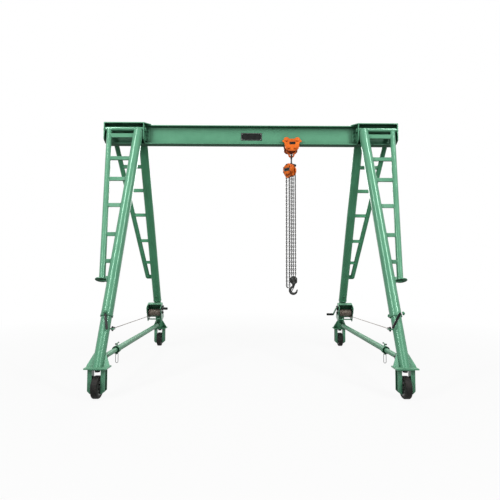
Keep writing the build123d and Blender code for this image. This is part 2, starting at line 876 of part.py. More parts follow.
def winch_cable(side):
    """Taut cable from the winch drum to the lug on the front leg."""
    lug_y = -(axis_y(cable_lug_rise) - cable_lug_width)
    front = Vector(side * (leg_x - lower_radius - cable_lug_reach / 2), lug_y + pin_fit, cable_lug_rise)
    out = winch_outer_x - winch_plate - running_gap - drum_flange_thickness - cable_diameter
    lowest = leg_point(side, 1, out, winch_down, drum_in)
    rear = lowest - Vector(0, 0, (rope_pack + cable_diameter) / 2 + plate_fit)
    with BuildPart() as cable:
        with BuildSketch(Plane(front, z_dir=rear - front)):
            Circle(cable_diameter / 2)
        extrude(amount=(rear - front).length)
    return cable.part


crank_turns = {"left": left_crank_turn, "right": right_crank_turn}
for side_name, side in SIDES.items():
    save(spreader_outer_tube(side), f"{side_name}_spreader_outer")
    save(spreader_inner_tube(side), f"{side_name}_spreader_inner")
    save(keeper_clip(side), f"{side_name}_keeper_clip")
    save(winch_frame(side), f"{side_name}_winch_frame")
    save(winch_drum(side), f"{side_name}_winch_drum")
    save(winch_crank(side, crank_turns[side_name]), f"{side_name}_winch_crank")
    save(winch_cable(side), f"{side_name}_winch_cable")


# Push trolley on the lower flange
flange_slope = (flange_root - flange_tip) / (flange_width / 2 - web_thickness / 2)
tread_inner = flange_width / 2 - trolley_wheel_width
tread_rise = flange_tip + flange_slope * trolley_wheel_width
trolley_wheel_z = beam_underside + tread_rise + trolley_wheel / 2 + plate_fit
trolley_bottom = beam_underside - trolley_drop
flange_y = flange_width / 2 + trolley_flange_gap
plate_y = flange_y + trolley_flange_thickness + trolley_wheel_gap
wheel_places = [trolley_x - trolley_wheel_spacing / 2, trolley_x + trolley_wheel_spacing / 2]
tie_z = beam_underside - tie_drop
eye_rise = beam_underside - eye_drop


def trolley_side(end):
    """Trolley side plate with its two stub axles."""
    ear = trolley_ear_width / 2
    ear_z = trolley_wheel_z - trolley_ear_drop
    waist = trolley_waist / 2
    half_outline = [
        (trolley_wheel_spacing / 2, trolley_wheel_z + trolley_dip),
        (ear, ear_z),
        (ear, ear_z - trolley_ear_edge),
        (trolley_neck_width / 2, trolley_wheel_z - trolley_neck_drop),
        (waist, trolley_bottom + trolley_corner_rise),
        (waist - trolley_corner_in, trolley_bottom),
    ]
    right = [(trolley_x + x, z) for x, z in half_outline]
    left = [(trolley_x - x, z) for x, z in reversed(half_outline)]
    outline = right + left
    outer = Plane(Vector(0, end * plate_y, 0), x_dir=(1, 0, 0), z_dir=(0, end, 0))
    lift = 1 if outer.y_dir.Z > 0 else -1
    with BuildPart() as plate:
        with BuildSketch(outer):
            with BuildLine():
                Polyline(*[(x, lift * z) for x, z in outline], close=True)
            make_face()
            with Locations(*[(x, lift * trolley_wheel_z) for x in wheel_places]):
                Circle(trolley_lobe)
            with Locations(*[(trolley_x + way * tie_spacing / 2, lift * tie_z) for way in (-1, 1)]):
                Circle(tie_bolt / 2 + plate_fit, mode=Mode.SUBTRACT)
        extrude(amount=trolley_plate)
        with BuildSketch(outer):
            with Locations(*[(x, lift * trolley_wheel_z) for x in wheel_places]):
                Circle(trolley_axle / 2)
        extrude(amount=-(plate_y - tread_inner))
    return plate.part


def trolley_wheels():
    """Four flanged wheels on the beam's lower flange."""
    with BuildPart() as wheels:
        for end in ENDS.values():
            for x in wheel_places:
                inner = Plane(Vector(x, end * tread_inner, trolley_wheel_z), z_dir=(0, end, 0))
                with BuildSketch(inner):
                    Circle(trolley_wheel / 2)
                extrude(amount=flange_y - tread_inner)
                with BuildSketch(inner.offset(flange_y - tread_inner)):
                    Circle(trolley_flange / 2)
                extrude(amount=trolley_flange_thickness)
                with BuildSketch(inner):
                    Circle(trolley_axle / 2 + pin_fit)
                extrude(amount=plate_y, mode=Mode.SUBTRACT)
    return wheels.part


def trolley_eye():
    """Load plate between the trolley's sides, with its eye and tie bolts."""
    front = Plane(Vector(0, eye_thickness / 2, 0), x_dir=(1, 0, 0), z_dir=(0, -1, 0))
    shoulder = tie_spacing / 2 + tie_bolt
    crown = tie_z + tie_bolt
    with BuildPart() as eye:
        with BuildSketch(front):
            with BuildLine():
                Polyline(
                    (trolley_x - shoulder, crown),
                    (trolley_x + shoulder, crown),
                    (trolley_x + shoulder, tie_z - tie_bolt),
                    (trolley_x + eye_diameter / 2, eye_rise),
                    (trolley_x - eye_diameter / 2, eye_rise),
                    (trolley_x - shoulder, tie_z - tie_bolt),
                    close=True,
                )
            make_face()
            with Locations((trolley_x, eye_rise)):
                Circle(eye_diameter / 2)
                Circle(eye_bore / 2, mode=Mode.SUBTRACT)
        extrude(amount=eye_thickness)
        for end in ENDS.values():
            with BuildSketch(Plane(Vector(0, 0, 0), x_dir=(1, 0, 0), z_dir=(0, -1, 0))):
                with Locations(*[(trolley_x + way * tie_spacing / 2, tie_z) for way in (-1, 1)]):
                    Circle(tie_bolt / 2)
            extrude(amount=-end * (plate_y + trolley_plate))
    return eye.part


save(Compound(children=[trolley_side(end) for end in ENDS.values()]), "trolley_side_plates")
save(trolley_wheels(), "trolley_wheels")
save(trolley_eye(), "trolley_load_plate")


# Chain hoist
turn = math.radians(hoist_turn)
hoist_axis = Vector(-math.cos(turn), -math.sin(turn), 0)
hoist_across = Vector(math.sin(turn), -math.cos(turn), 0)
hoist_x = trolley_x + hoist_shift
hoist_rise = eye_rise - hoist_drop
hoist_middle = Vector(hoist_x, 0, hoist_rise)
hoist_plane = Plane(hoist_middle, x_dir=hoist_across, z_dir=hoist_axis)
hook_inside = top_hook_radius - hook_wire / 2
hook_seat = math.sqrt(hook_inside**2 - (eye_thickness / 2) ** 2)
hook_centre = eye_rise - eye_bore / 2 + plate_fit - hook_seat
hook_foot = hook_centre - top_hook_radius
body_top = hoist_rise + block_height / 2

with BuildPart() as hoist_body:
    with BuildSketch(hoist_plane.offset(-block_depth / 2)) as body_outline:
        Rectangle(block_width, block_height)
        fillet(body_outline.vertices(), block_round)
    extrude(amount=block_depth)
save(hoist_body.part, "hoist_body")

with BuildPart() as hand_wheel_cover:
    with BuildSketch(hoist_plane.offset(block_depth / 2)):
        with Locations((0, cover_lift)):
            Circle(cover_diameter / 2)
        with Locations((0, -guide_drop)):
            Circle(guide_diameter / 2)
        make_hull()
    extrude(amount=cover_depth)
    with BuildSketch(hoist_plane.offset(block_depth / 2 + cover_depth)):
        with Locations((0, cover_lift)):
            Circle(dish_diameter / 2)
    extrude(amount=dish_depth)
    fillet(hand_wheel_cover.faces().sort_by(Axis(hoist_middle, hoist_axis))[-1].edges(), dish_round)
save(hand_wheel_cover.part, "hoist_hand_wheel_cover")

with BuildPart() as gear_case:
    with BuildSketch(hoist_plane.offset(-block_depth / 2)):
        Circle(case_diameter / 2)
    extrude(amount=-case_depth)
    fillet(gear_case.faces().sort_by(Axis(hoist_middle, hoist_axis))[0].edges(), case_round)
save(gear_case.part, "hoist_gear_case")

with BuildPart() as top_hook:
    bowl_axis = Axis((trolley_x, 0, hook_centre), (1, 0, 0))
    with BuildSketch(Plane(Vector(trolley_x, 0, hook_foot), z_dir=(0, 1, 0))):
        Circle(hook_wire / 2)
    revolve(axis=bowl_axis, revolution_arc=-top_hook_sweep)
    with BuildSketch(Plane.XY.offset(body_top)):
        with Locations((trolley_x, 0)):
            Circle(hook_wire / 2)
    extrude(amount=hook_foot - body_top)
    with Locations((trolley_x, 0, hook_foot)):
        Sphere(hook_wire / 2)
save(top_hook.part, "hoist_top_hook")

cover_middle = (block_depth + cover_depth + dish_depth) / 2
hand_places = [
    hoist_middle + hoist_axis * cover_middle + hoist_across * (way * hand_chain_offset) for way in (-1, 1)
]

with BuildPart() as hand_chain:
    half = hand_chain_width / 2
    centre = (hand_places[0] + hand_places[1]) * 0.5
    low = hoist_rise - hand_chain_drop + hand_chain_offset + half
    guide_low = math.sqrt((guide_diameter / 2) ** 2 - (hand_chain_offset - half) ** 2)
    strand_top = hoist_rise - guide_drop - guide_low - plate_fit
    for place in hand_places:
        with BuildSketch(Plane(Vector(place.X, place.Y, low), x_dir=hoist_across, z_dir=(0, 0, 1))):
            Rectangle(hand_chain_width, hand_chain_width)
        extrude(amount=strand_top - low)
    loop_start = Vector(hand_places[1].X, hand_places[1].Y, low)
    with BuildSketch(Plane(loop_start, x_dir=hoist_across, z_dir=(0, 0, 1))):
        Rectangle(hand_chain_width, hand_chain_width)
    revolve(axis=Axis((centre.X, centre.Y, low), tuple(hoist_axis * -1)), revolution_arc=180)
save(hand_chain.part, "hand_chain")

load_x = hoist_x + load_shift
load_block_top = hoist_rise - block_height / 2 - load_chain_length
block_under = load_block_top - load_block_height
dead_end_y = (load_block_depth - load_chain_width) / 2
load_places = [(load_x - load_chain_spread, 0), (load_x + load_chain_spread, 0), (load_x, dead_end_y)]
with BuildPart() as load_chain:
    with BuildSketch(Plane.XY.offset(load_block_top)):
        with Locations(*load_places):
            Rectangle(load_chain_width, load_chain_width)
    extrude(amount=load_chain_length)
save(load_chain.part, "load_chain")

with BuildPart() as hook_block:
    front = Plane(Vector(load_x, -load_block_depth / 2, 0), x_dir=(1, 0, 0), z_dir=(0, -1, 0))
    with BuildSketch(front) as outline:
        with Locations((0, load_block_top - load_block_height / 2)):
            Rectangle(load_block_length, load_block_height)
        chamfer(outline.vertices(), load_block_corner)
    extrude(amount=-load_block_depth)
save(hook_block.part, "hook_block")

with BuildPart() as load_hook:
    hook_z = block_under - load_hook_drop + load_hook_radius + load_hook_wire / 2
    with BuildSketch(Plane.XY.offset(block_under - plate_fit - swivel_height)):
        with Locations((load_x, 0)):
            Circle(swivel_diameter / 2)
    extrude(amount=swivel_height)
    with BuildSketch(Plane.XY.offset(hook_z + load_hook_radius)):
        with Locations((load_x, 0)):
            Circle(load_hook_wire / 2)
    extrude(amount=block_under - plate_fit - hook_z - load_hook_radius)
    with BuildSketch(Plane(Vector(load_x, 0, hook_z + load_hook_radius), z_dir=(1, 0, 0))):
        Circle(load_hook_wire / 2)
    revolve(axis=Axis((load_x, 0, hook_z), (0, -1, 0)), revolution_arc=load_hook_sweep)
    with Locations((load_x, 0, hook_z + load_hook_radius)):
        Sphere(load_hook_wire / 2)
save(load_hook.part, "load_hook")
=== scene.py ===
"""Studio scene of a portable gantry crane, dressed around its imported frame.

The axes are the frame's own: X along the beam, -Y the front, Z up. The crane's sizes and the meshes in the
making are in millimetres. The frame, the finished meshes and the studio are in metres.
"""

import json
import logging
import math
import random
from dataclasses import dataclass
from enum import Enum
from functools import cached_property
from typing import Any, Iterable, Sequence

import bmesh
import bpy
from mathutils import Matrix, Vector


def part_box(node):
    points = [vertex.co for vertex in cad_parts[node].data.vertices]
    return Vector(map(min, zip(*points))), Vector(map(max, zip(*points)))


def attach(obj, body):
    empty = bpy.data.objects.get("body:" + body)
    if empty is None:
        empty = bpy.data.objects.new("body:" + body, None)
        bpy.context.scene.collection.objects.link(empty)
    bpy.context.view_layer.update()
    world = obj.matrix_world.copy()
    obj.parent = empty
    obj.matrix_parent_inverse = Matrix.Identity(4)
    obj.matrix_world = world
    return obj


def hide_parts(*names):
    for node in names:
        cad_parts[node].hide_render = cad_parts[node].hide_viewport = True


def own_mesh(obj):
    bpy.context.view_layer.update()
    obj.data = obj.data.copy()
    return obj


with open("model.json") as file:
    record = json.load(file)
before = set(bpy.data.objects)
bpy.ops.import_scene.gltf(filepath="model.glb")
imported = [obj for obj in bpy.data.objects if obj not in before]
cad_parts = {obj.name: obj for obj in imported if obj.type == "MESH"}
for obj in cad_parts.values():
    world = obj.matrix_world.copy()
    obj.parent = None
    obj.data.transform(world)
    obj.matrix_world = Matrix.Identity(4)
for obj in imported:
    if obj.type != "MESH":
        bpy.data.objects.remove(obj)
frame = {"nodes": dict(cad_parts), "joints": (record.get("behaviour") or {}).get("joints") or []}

Pair = tuple[float, float]
Triple = tuple[float, float, float]
Profile = tuple[Pair, ...]
Tree = bpy.types.NodeTree
Socket = bpy.types.NodeSocket

LOG = logging.getLogger("gantry")
MM = 0.001
SEED = 417
RIGHT = Vector((1, 0, 0))
FORWARD = Vector((0, -1, 0))
UP = Vector((0, 0, 1))
WAYS = (-1, 1)
WHITE = (1, 1, 1, 1)

# Edges flatter than this are shaded smooth: on plain pieces, on turned ones, and on ropes and chains
PLAIN_DEG = 38.0
TURNED_DEG = 50.0
ROPE_DEG = 70.0

# A bolt's washer and shank, as radius and height in shares of its width across flats
WASHER = ((0.62, 0.0), (0.62, 0.063), (0.589, 0.09))
SHANK = ((0.27, 0.0), (0.27, 0.14), (0.216, 0.2))
HEAD_EDGE = 0.09
# A pin's domed head, in shares of its radius and of its height
DOME = ((1.0, 0.0), (1.0, 0.3), (0.85, 0.7), (0.5, 1.0))
CORNER_STEPS = 5
LOBE_DEPTH = 0.24
BEAD_SIDES = 6
# Settles a chain's ties: a half link in its count, and a link that lies on a bend
TIE = 0.001


class Named(Enum):
    """A choice that the frame's node names spell in lower case."""

    @property
    def label(self) -> str:
        """Its word in the frame's node names."""
        return self.name.lower()


class Side(Named):
    """Which A-frame, by the sign of X."""

    LEFT = -1
    RIGHT = 1


class End(Named):
    """Which leg of an A-frame, by the sign of Y."""

    FRONT = -1
    REAR = 1


class Slot(Enum):
    """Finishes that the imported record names."""

    GREEN = "green_paint"
    ORANGE = "orange_paint"
    DARK = "dark_steel"
    ZINC = "zinc_steel"
    ROPE = "wire_rope"
    TYRE = "tyre"
    IRON = "wheel_iron"


# Frame, nodes and outlines


def box_mm(name: str) -> tuple[Vector, Vector]:
    """Low and high corner of a solid's box, in millimetres."""
    low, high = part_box(name)
    return low / MM, high / MM


def joint(name: str) -> dict[str, Any]:
    """The frame's joint of that name."""
    return next(j for j in frame["joints"] if j["name"] == name)


def joint_mm(name: str) -> Vector:
    """Where the frame's joint of that name lies, in millimetres."""
    return Vector(joint(name)["pos_m"]) / MM


def linear(hex_colour: str) -> tuple[float, float, float, float]:
    """Turn an sRGB hex colour into linear light.

    Args:
        hex_colour: Six hex digits after a hash sign.

    Returns:
        Red, green, blue and an alpha of 1.
    """
    channels = [int(hex_colour[i : i + 2], 16) / 255 for i in (1, 3, 5)]
    red, green, blue = [c / 12.92 if c <= 0.04045 else ((c + 0.055) / 1.055) ** 2.4 for c in channels]
    return red, green, blue, 1.0


def per_metre(size_mm: float) -> float:
    """Scale of a texture whose features are that many millimetres wide."""
    return 1.0 / (size_mm * MM)


def add_node(
    tree: Tree,
    kind: str,
    settings: dict[str | int, Any] | None = None,
    links: dict[str | int, Socket] | None = None,
) -> bpy.types.Node:
    """Add one shader node with its settings and links.

    Args:
        tree: Node tree that takes the node.
        kind: Blender's name of the node type.
        settings: Values by name. A lower-case name is an attribute, any other key an input socket.
        links: Output sockets, by the input that each one feeds.

    Returns:
        The new node.
    """
    node = tree.nodes.new(kind)
    for key, value in (settings or {}).items():
        if isinstance(key, str) and key.islower():
            setattr(node, key, value)
        else:
            node.inputs[key].default_value = value
    for key, socket in (links or {}).items():
        tree.links.new(socket, node.inputs[key])
    return node


def facing(origin: Vector, along: Vector, across: Vector = UP) -> Matrix:
    """Placing whose Z runs along a direction.

    Args:
        origin: Where the placing's own origin lies.
        along: Direction of its Z.
        across: Direction that its X keeps near to.

    Returns:
        The placing.
    """
    z = along.normalized()
    if abs(z.dot(across.normalized())) > 0.99:
        across = RIGHT if abs(z.x) < 0.9 else -FORWARD
    x = (across - z * across.dot(z)).normalized()
    y = z.cross(x)
    return Matrix.Translation(origin) @ Matrix((x, y, z)).transposed().to_4x4()


def lifted(place: Matrix, height: float) -> Matrix:
    """A placing moved along its own Z."""
    return place @ Matrix.Translation((0, 0, height))


def spread(count: int) -> list[float]:
    """Angles spread evenly over a full turn, in radians."""
    return [2 * math.pi * i / count for i in range(count)]


def scaled(profile: Profile, wide: float, tall: float) -> list[Pair]:
    """A profile given in shares, brought to its size."""
    return [(radius * wide, height * tall) for radius, height in profile]


def hexagon(across_flats: float) -> list[Pair]:
    """Outline of a nut, anticlockwise."""
    radius = across_flats / math.sqrt(3)
    return [(radius * math.cos(a), radius * math.sin(a)) for a in spread(6)]


def rounded_box(width: float, height: float, radius: float) -> list[Pair]:
    """Rectangle with round corners.

    Args:
        width: Size along x.
        height: Size along y.
        radius: Radius of its corners.

    Returns:
        Its outline, anticlockwise.
    """
    outline = []
    for quarter, (sx, sy) in enumerate(((1, 1), (-1, 1), (-1, -1), (1, -1))):
        for step in range(CORNER_STEPS):
            angle = math.pi / 2 * (quarter + step / (CORNER_STEPS - 1))
            x = sx * (width / 2 - radius) + radius * math.cos(angle)
            y = sy * (height / 2 - radius) + radius * math.sin(angle)
            outline.append((x, y))
    return outline


def inset(outline: Sequence[Pair], by: float) -> list[Pair]:
    """Outline drawn in by a distance along its own corners.

    Args:
        outline: Corners, anticlockwise.
        by: How far each edge moves in.

    Returns:
        The smaller outline, corner for corner.
    """
    drawn = []
    for i, point in enumerate(outline):
        here = Vector(point)
        before = (here - Vector(outline[i - 1])).normalized()
        after = (Vector(outline[(i + 1) % len(outline)]) - here).normalized()
        normal_before = Vector((-before.y, before.x))
        normal_after = Vector((-after.y, after.x))
        share = max(0.4, 1 + normal_before.dot(normal_after))
        drawn.append(tuple(here + (normal_before + normal_after) * (by / share)))
    return drawn


def arc(centre: Vector, start: Vector, axis: Vector, turn: float, steps: int) -> list[Vector]:
    """Points of an arc.

    Args:
        centre: Middle of the circle.
        start: First point.
        axis: Direction that it turns about.
        turn: Angle that it covers, in radians.
        steps: Number of stretches.

    Returns:
        The points, the first and the last among them.
    """
    spoke = start - centre
    return [centre + Matrix.Rotation(turn * i / steps, 3, axis) @ spoke for i in range(steps + 1)]


# Meshes


class Workpiece:
    """A mesh in the making, in millimetres, which ends as one named piece that rides on a body."""

    def __init__(self, name: str) -> None:
        """Start an empty mesh under the piece's name."""
        self.name = name
        self.mesh = bmesh.new()

    def _skin(self, rings: list[list[Vector]], closed: bool) -> None:
        """Join rings of points with faces.

        Args:
            rings: Rings of equal length, or single points at the tips.
            closed: Whether the last ring meets the first.
        """
        rows = [[self.mesh.verts.new(point) for point in ring] for ring in rings]
        pairs = list(zip(rows, rows[1:])) + ([(rows[-1], rows[0])] if closed else [])
        for low, high in pairs:
            for i in range(max(len(low), len(high))):
                corners = [
                    low[i % len(low)],
                    low[(i + 1) % len(low)],
                    high[(i + 1) % len(high)],
                    high[i % len(high)],
                ]
                face = list(dict.fromkeys(corners))
                if len(face) > 2:
                    self.mesh.faces.new(face)
        if not closed:
            for row, order in ((rows[0], -1), (rows[-1], 1)):
                if len(row) > 2:
                    self.mesh.faces.new(row[::order])

    def lathe(self, profile: Iterable[Pair], place: Matrix, sides: int = 24, ring: bool = False) -> None:
        """Turn a profile about the placing's Z.

        Args:
            profile: Radius and height of each step, from low to high. A radius of 0 ends in a point.
            place: Where the turned form stands.
            sides: Facets round it.
            ring: Whether the profile closes on itself, as a ring's does.
        """
        rings = []
        for radius, height in profile:
            angles = spread(sides) if radius > 0 else [0.0]
            points = [Vector((radius * math.cos(a), radius * math.sin(a), height)) for a in angles]
            rings.append([place @ point for point in points])
        self._skin(rings, closed=ring)

    def dome(self, place: Matrix, radius: float, height: float) -> None:
        """Set a domed head, such as a pin's, with the placing's Z out of the surface."""
        self.lathe(scaled(DOME, radius, height), place, sides=20)

    def sweep(
        self,
        path: Sequence[Vector],
        radius: float | Sequence[float],
        sides: int = BEAD_SIDES,
        closed: bool = False,
        lobes: int = 0,
        lay: float = 0.0,
    ) -> None:
        """Carry a round section along a path.

        Args:
            path: Points that the middle of the section follows.
            radius: Radius of the section, or one for each point.
            sides: Facets round the section.
            closed: Whether the path comes back to its start.
            lobes: Strands that show round the section, as in a rope.
            lay: Length in which a strand goes once round.
        """
        count = len(path)
        radii = [radius] * count if isinstance(radius, (int, float)) else list(radius)
        rings = []
        side = None
        run = 0.0
        for i, point in enumerate(path):
            after = path[(i + 1) % count] if closed or i + 1 < count else point
            before = path[i - 1] if closed or i else point
            along = (after - before).normalized()
            if side is None:
                side = facing(point, along).to_3x3() @ RIGHT
            side = (side - along * side.dot(along)).normalized()
            other = along.cross(side)
            run += (point - path[i - 1]).length if i else 0.0
            twist = 2 * math.pi * run / lay if lay else 0.0
            ring = []
            for angle in spread(sides):
                swell = 1 - LOBE_DEPTH * abs(math.sin(lobes * angle / 2)) if lobes else 1.0
                reach = radii[i] * swell
                turn = angle + twist
                ring.append(point + side * (reach * math.cos(turn)) + other * (reach * math.sin(turn)))
            rings.append(ring)
        self._skin(rings, closed)

    def rim(self, outline: Sequence[Pair], radius: float, place: Matrix) -> None:
        """Run a round bead along an outline that lies in the placing's X and Y."""
        self.sweep([place @ Vector((x, y, 0)) for x, y in outline], radius, closed=True)

    def prism(self, outline: Sequence[Pair], depth: float, place: Matrix, edge: float = 0.0) -> None:
        """Raise a flat outline to a plate with eased edges.

        Args:
            outline: Corners in the placing's X and Y, anticlockwise.
            depth: Thickness along its Z.
            place: Where the plate's lower face lies.
            edge: Width of the eased upper edge.
        """
        levels = [(outline, 0.0), (outline, depth - edge)]
        if edge:
            levels.append((inset(outline, edge), depth))
        rings = [[place @ Vector((x, y, z)) for x, y in flat] for flat, z in levels]
        self._skin(rings, closed=False)

    def bolt_head(self, place: Matrix, flats: float, height: float) -> None:
        """Set a hexagon head on its washer.

        Args:
            place: Where the washer lies, with Z out of the surface.
            flats: Width across the flats.
            height: Height of the head over its washer.
        """
        self.lathe(scaled(WASHER, flats, flats), place, sides=20)
        seat = lifted(place, WASHER[-1][1] * flats)
        self.prism(hexagon(flats), height, seat, HEAD_EDGE * flats)
        self.lathe(scaled(SHANK, flats, flats), lifted(seat, height), sides=14)

    def finish(
        self,
        surface: "Coat",
        body: str,
        smooth_deg: float = PLAIN_DEG,
        stands_for: Sequence[str] = (),
    ) -> bpy.types.Object:
        """Turn the mesh into a piece of the scene.

        Args:
            surface: Its finish.
            body: Body that it rides on.
            smooth_deg: Edges flatter than this are shaded smooth.
            stands_for: Solids of the frame that it takes the place of.

        Returns:
            The piece.
        """
        for vert in self.mesh.verts:
            vert.co *= MM
        bmesh.ops.recalc_face_normals(self.mesh, faces=self.mesh.faces[:])
        limit = math.radians(smooth_deg)
        for edge in self.mesh.edges:
            edge.smooth = len(edge.link_faces) == 2 and edge.calc_face_angle(0.0) < limit
        for face in self.mesh.faces:
            face.smooth = True
        data = bpy.data.meshes.new(self.name)
        self.mesh.to_mesh(data)
        self.mesh.free()
        data.materials.append(surface.material)
        piece = bpy.data.objects.new(self.name, data)
        bpy.context.scene.collection.objects.link(piece)
        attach(piece, body)
        if stands_for:
            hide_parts(*stands_for)
        LOG.info("%s: %d faces on %s", self.name, len(data.polygons), body)
        return piece


def coat(surface: "Coat", *nodes: str) -> None:
    """Give solids of the frame their finish.

    Args:
        surface: The finish.
        nodes: Names of the solids.
    """
    for name in nodes:
        data = frame["nodes"][name].data
        if not data.materials:
            data.materials.append(surface.material)
        for place in range(len(data.materials)):
            data.materials[place] = surface.material


# Finishes


@dataclass(frozen=True)
class Finish:
    """What every finish shares: its names, two tones in soft clouds, and a fine relief."""

    name: str
    slot: Slot

    def start(self) -> tuple[bpy.types.Material, Tree, Socket]:
        """Open a material of this name.

        Returns:
            The material, its node tree and its object coordinates.
        """
        material = bpy.data.materials.new(self.name)
        material.use_nodes = True
        tree = material.node_tree
        return material, tree, add_node(tree, "ShaderNodeTexCoord").outputs["Object"]

    def clouds(
        self, tree: Tree, place: Socket, tones: tuple[str, str], size_mm: float, detail: float, span: Pair
    ) -> tuple[Socket, Socket]:
        """Mix two tones in soft clouds.

        Args:
            tree: The material's node tree.
            place: Its object coordinates.
            tones: The two colours.
            size_mm: Width of a cloud.
            detail: How finely the clouds break up.
            span: Noise at which the second tone begins, and at which it is full.

        Returns:
            The noise and the mixed colour.
        """
        noise = add_node(
            tree, "ShaderNodeTexNoise", {"Scale": per_metre(size_mm), "Detail": detail}, {"Vector": place}
        ).outputs[0]
        share = add_node(
            tree, "ShaderNodeMapRange", {"From Min": span[0], "From Max": span[1]}, {"Value": noise}
        )
        mixed = add_node(
            tree,
            "ShaderNodeMix",
            {"data_type": "RGBA", 6: linear(tones[0]), 7: linear(tones[1])},
            {0: share.outputs[0]},
        )
        return noise, mixed.outputs[2]

    def close(
        self, tree: Tree, colour: Socket, rough: Socket, relief: Socket, strength: float, depth_mm: float
    ) -> bpy.types.Node:
        """Feed the shader its colour, roughness and relief.

        Args:
            tree: The material's node tree.
            colour: Base colour.
            rough: Roughness.
            relief: Height of the relief.
            strength: How much of the relief shows.
            depth_mm: Depth of the relief.

        Returns:
            The shader.
        """
        bump = add_node(
            tree, "ShaderNodeBump", {"Strength": strength, "Distance": depth_mm * MM}, {"Height": relief}
        )
        shader = tree.nodes["Principled BSDF"]
        for name, socket in (("Base Color", colour), ("Roughness", rough), ("Normal", bump.outputs[0])):
            tree.links.new(socket, shader.inputs[name])
        return shader


@dataclass(frozen=True)
class SprayedEnamel(Finish):
    """Machine enamel sprayed on welded steel.

    A glossy coat with faint orange peel, film that is a little thicker in places and dust on top. Painted
    shade darkens it on faces that look down and in the corners, and faces that look down are also duller.
    """

    colour: str = "#52886B"
    thick: str = "#4C8165"
    dust: str = "#A9B8A6"
    # Colour of the painted shade on faces that look down and in the corners
    grime: str = "#06301B"
    film_mm: float = 160.0
    film_detail: float = 3.0
    film_span: Pair = (0.35, 0.68)
    peel_mm: float = 34.0
    peel_detail: float = 1.0
    peel_shows: float = 0.03
    peel_depth_mm: float = 0.4
    dust_mm: float = 45.0
    dust_detail: float = 5.0
    dust_share: float = 0.12
    dust_dulls: float = 1.6
    dust_span: Pair = (0.55, 1.0)
    gloss: Pair = (0.14, 0.2)
    specular: float = 0.5
    tint: str = "#C4EBD6"
    # Painted shade on faces that look down: its share, the roughness that it adds and the span of the faces
    grime_share: float = 0.9
    grime_dulls: float = 0.7
    grime_span: Pair = (-0.15, -0.95)
    # Painted shade in the corners that ambient occlusion finds closed in: its reach, samples, share and span
    corner_mm: float = 260.0
    corner_samples: int = 8
    corner_share: float = 0.8
    corner_span: Pair = (0.8, 0.2)
    ior: float = 1.5

    def build(self) -> bpy.types.Material:
        """Make the enamel's nodes.

        Returns:
            The finished material.
        """
        material, tree, place = self.start()
        tones = (self.colour, self.thick)
        _, paint = self.clouds(tree, place, tones, self.film_mm, self.film_detail, self.film_span)
        normal = add_node(tree, "ShaderNodeNewGeometry").outputs["Normal"]
        upward = add_node(tree, "ShaderNodeSeparateXYZ", links={0: normal}).outputs["Z"]
        sky = {"samples": self.corner_samples, "Distance": self.corner_mm * MM}
        open_sky = add_node(tree, "ShaderNodeAmbientOcclusion", sky).outputs["AO"]
        # Dust lies on faces that look up; painted shade darkens faces that look down, and the corners that
        # ambient occlusion finds closed in
        settled, beneath, corners = [
            add_node(
                tree,
                "ShaderNodeMapRange",
                {"From Min": span[0], "From Max": span[1], "To Max": most},
                {"Value": source},
            ).outputs[0]
            for source, span, most in (
                (upward, self.dust_span, 2 * self.dust_share),
                (upward, self.grime_span, self.grime_share),
                (open_sky, self.corner_span, self.corner_share),
            )
        ]
        # Orange peel is about 2 mm wide and drawn as long waves, which are the finest that show here
        specks, peel = [
            add_node(
                tree, "ShaderNodeTexNoise", {"Scale": per_metre(size), "Detail": detail}, {"Vector": place}
            ).outputs[0]
            for size, detail in ((self.dust_mm, self.dust_detail), (self.peel_mm, self.peel_detail))
        ]
        dusty = add_node(tree, "ShaderNodeMath", {"operation": "MULTIPLY"}, {0: settled, 1: specks})
        # Painted shade takes the stronger of the underside and corner masks
        painted_shade_mask = add_node(tree, "ShaderNodeMath", {"operation": "MAXIMUM"}, {0: beneath, 1: corners})
        # Mix the dust, then the painted shade, into the enamel's colour
        colour = paint
        for share, dust_and_shade_tone in ((dusty, self.dust), (painted_shade_mask, self.grime)):
            colour = add_node(
                tree,
                "ShaderNodeMix",
                {"data_type": "RGBA", 7: linear(dust_and_shade_tone)},
                {0: share.outputs[0], 6: colour},
            ).outputs[2]
        rough = add_node(
            tree, "ShaderNodeMapRange", {"To Min": self.gloss[0], "To Max": self.gloss[1]}, {"Value": specks}
        ).outputs[0]
        for share, dulls in ((beneath, self.grime_dulls), (settled, self.dust_dulls)):
            rough = add_node(
                tree, "ShaderNodeMath", {"operation": "MULTIPLY_ADD", 1: dulls}, {0: share, 2: rough}
            ).outputs[0]
        shader = self.close(tree, colour, rough, peel, self.peel_shows, self.peel_depth_mm)
        shader.inputs["IOR"].default_value = self.ior
        shader.inputs["Specular IOR Level"].default_value = self.specular
        shader.inputs["Specular Tint"].default_value = linear(self.tint)
        return material


@dataclass(frozen=True)
class BareMetal(Finish):
    """Metal with no paint: forged, plated, cast or drawn, told apart by its colours and grain."""

    colour: str
    worn: str
    patch_mm: float
    grain_mm: float
    grain_depth_mm: float = 0.3
    metallic: float = 1.0
    rough: Pair = (0.4, 0.6)
    patch_detail: float = 6.0
    patch_span: Pair = (0.38, 0.66)
    grain_detail: float = 3.0
    grain_shows: float = 0.35

    def build(self) -> bpy.types.Material:
        """Make the metal's nodes.

        Returns:
            The finished material.
        """
        material, tree, place = self.start()
        tones = (self.colour, self.worn)
        _, tone = self.clouds(tree, place, tones, self.patch_mm, self.patch_detail, self.patch_span)
        fine = {"Scale": per_metre(self.grain_mm), "Detail": self.grain_detail}
        grain = add_node(tree, "ShaderNodeTexNoise", fine, {"Vector": place}).outputs[0]
        sheen = add_node(
            tree, "ShaderNodeMapRange", {"To Min": self.rough[0], "To Max": self.rough[1]}, {"Value": grain}
        )
        shader = self.close(tree, tone, sheen.outputs[0], grain, self.grain_shows, self.grain_depth_mm)
        shader.inputs["Metallic"].default_value = self.metallic
        return material


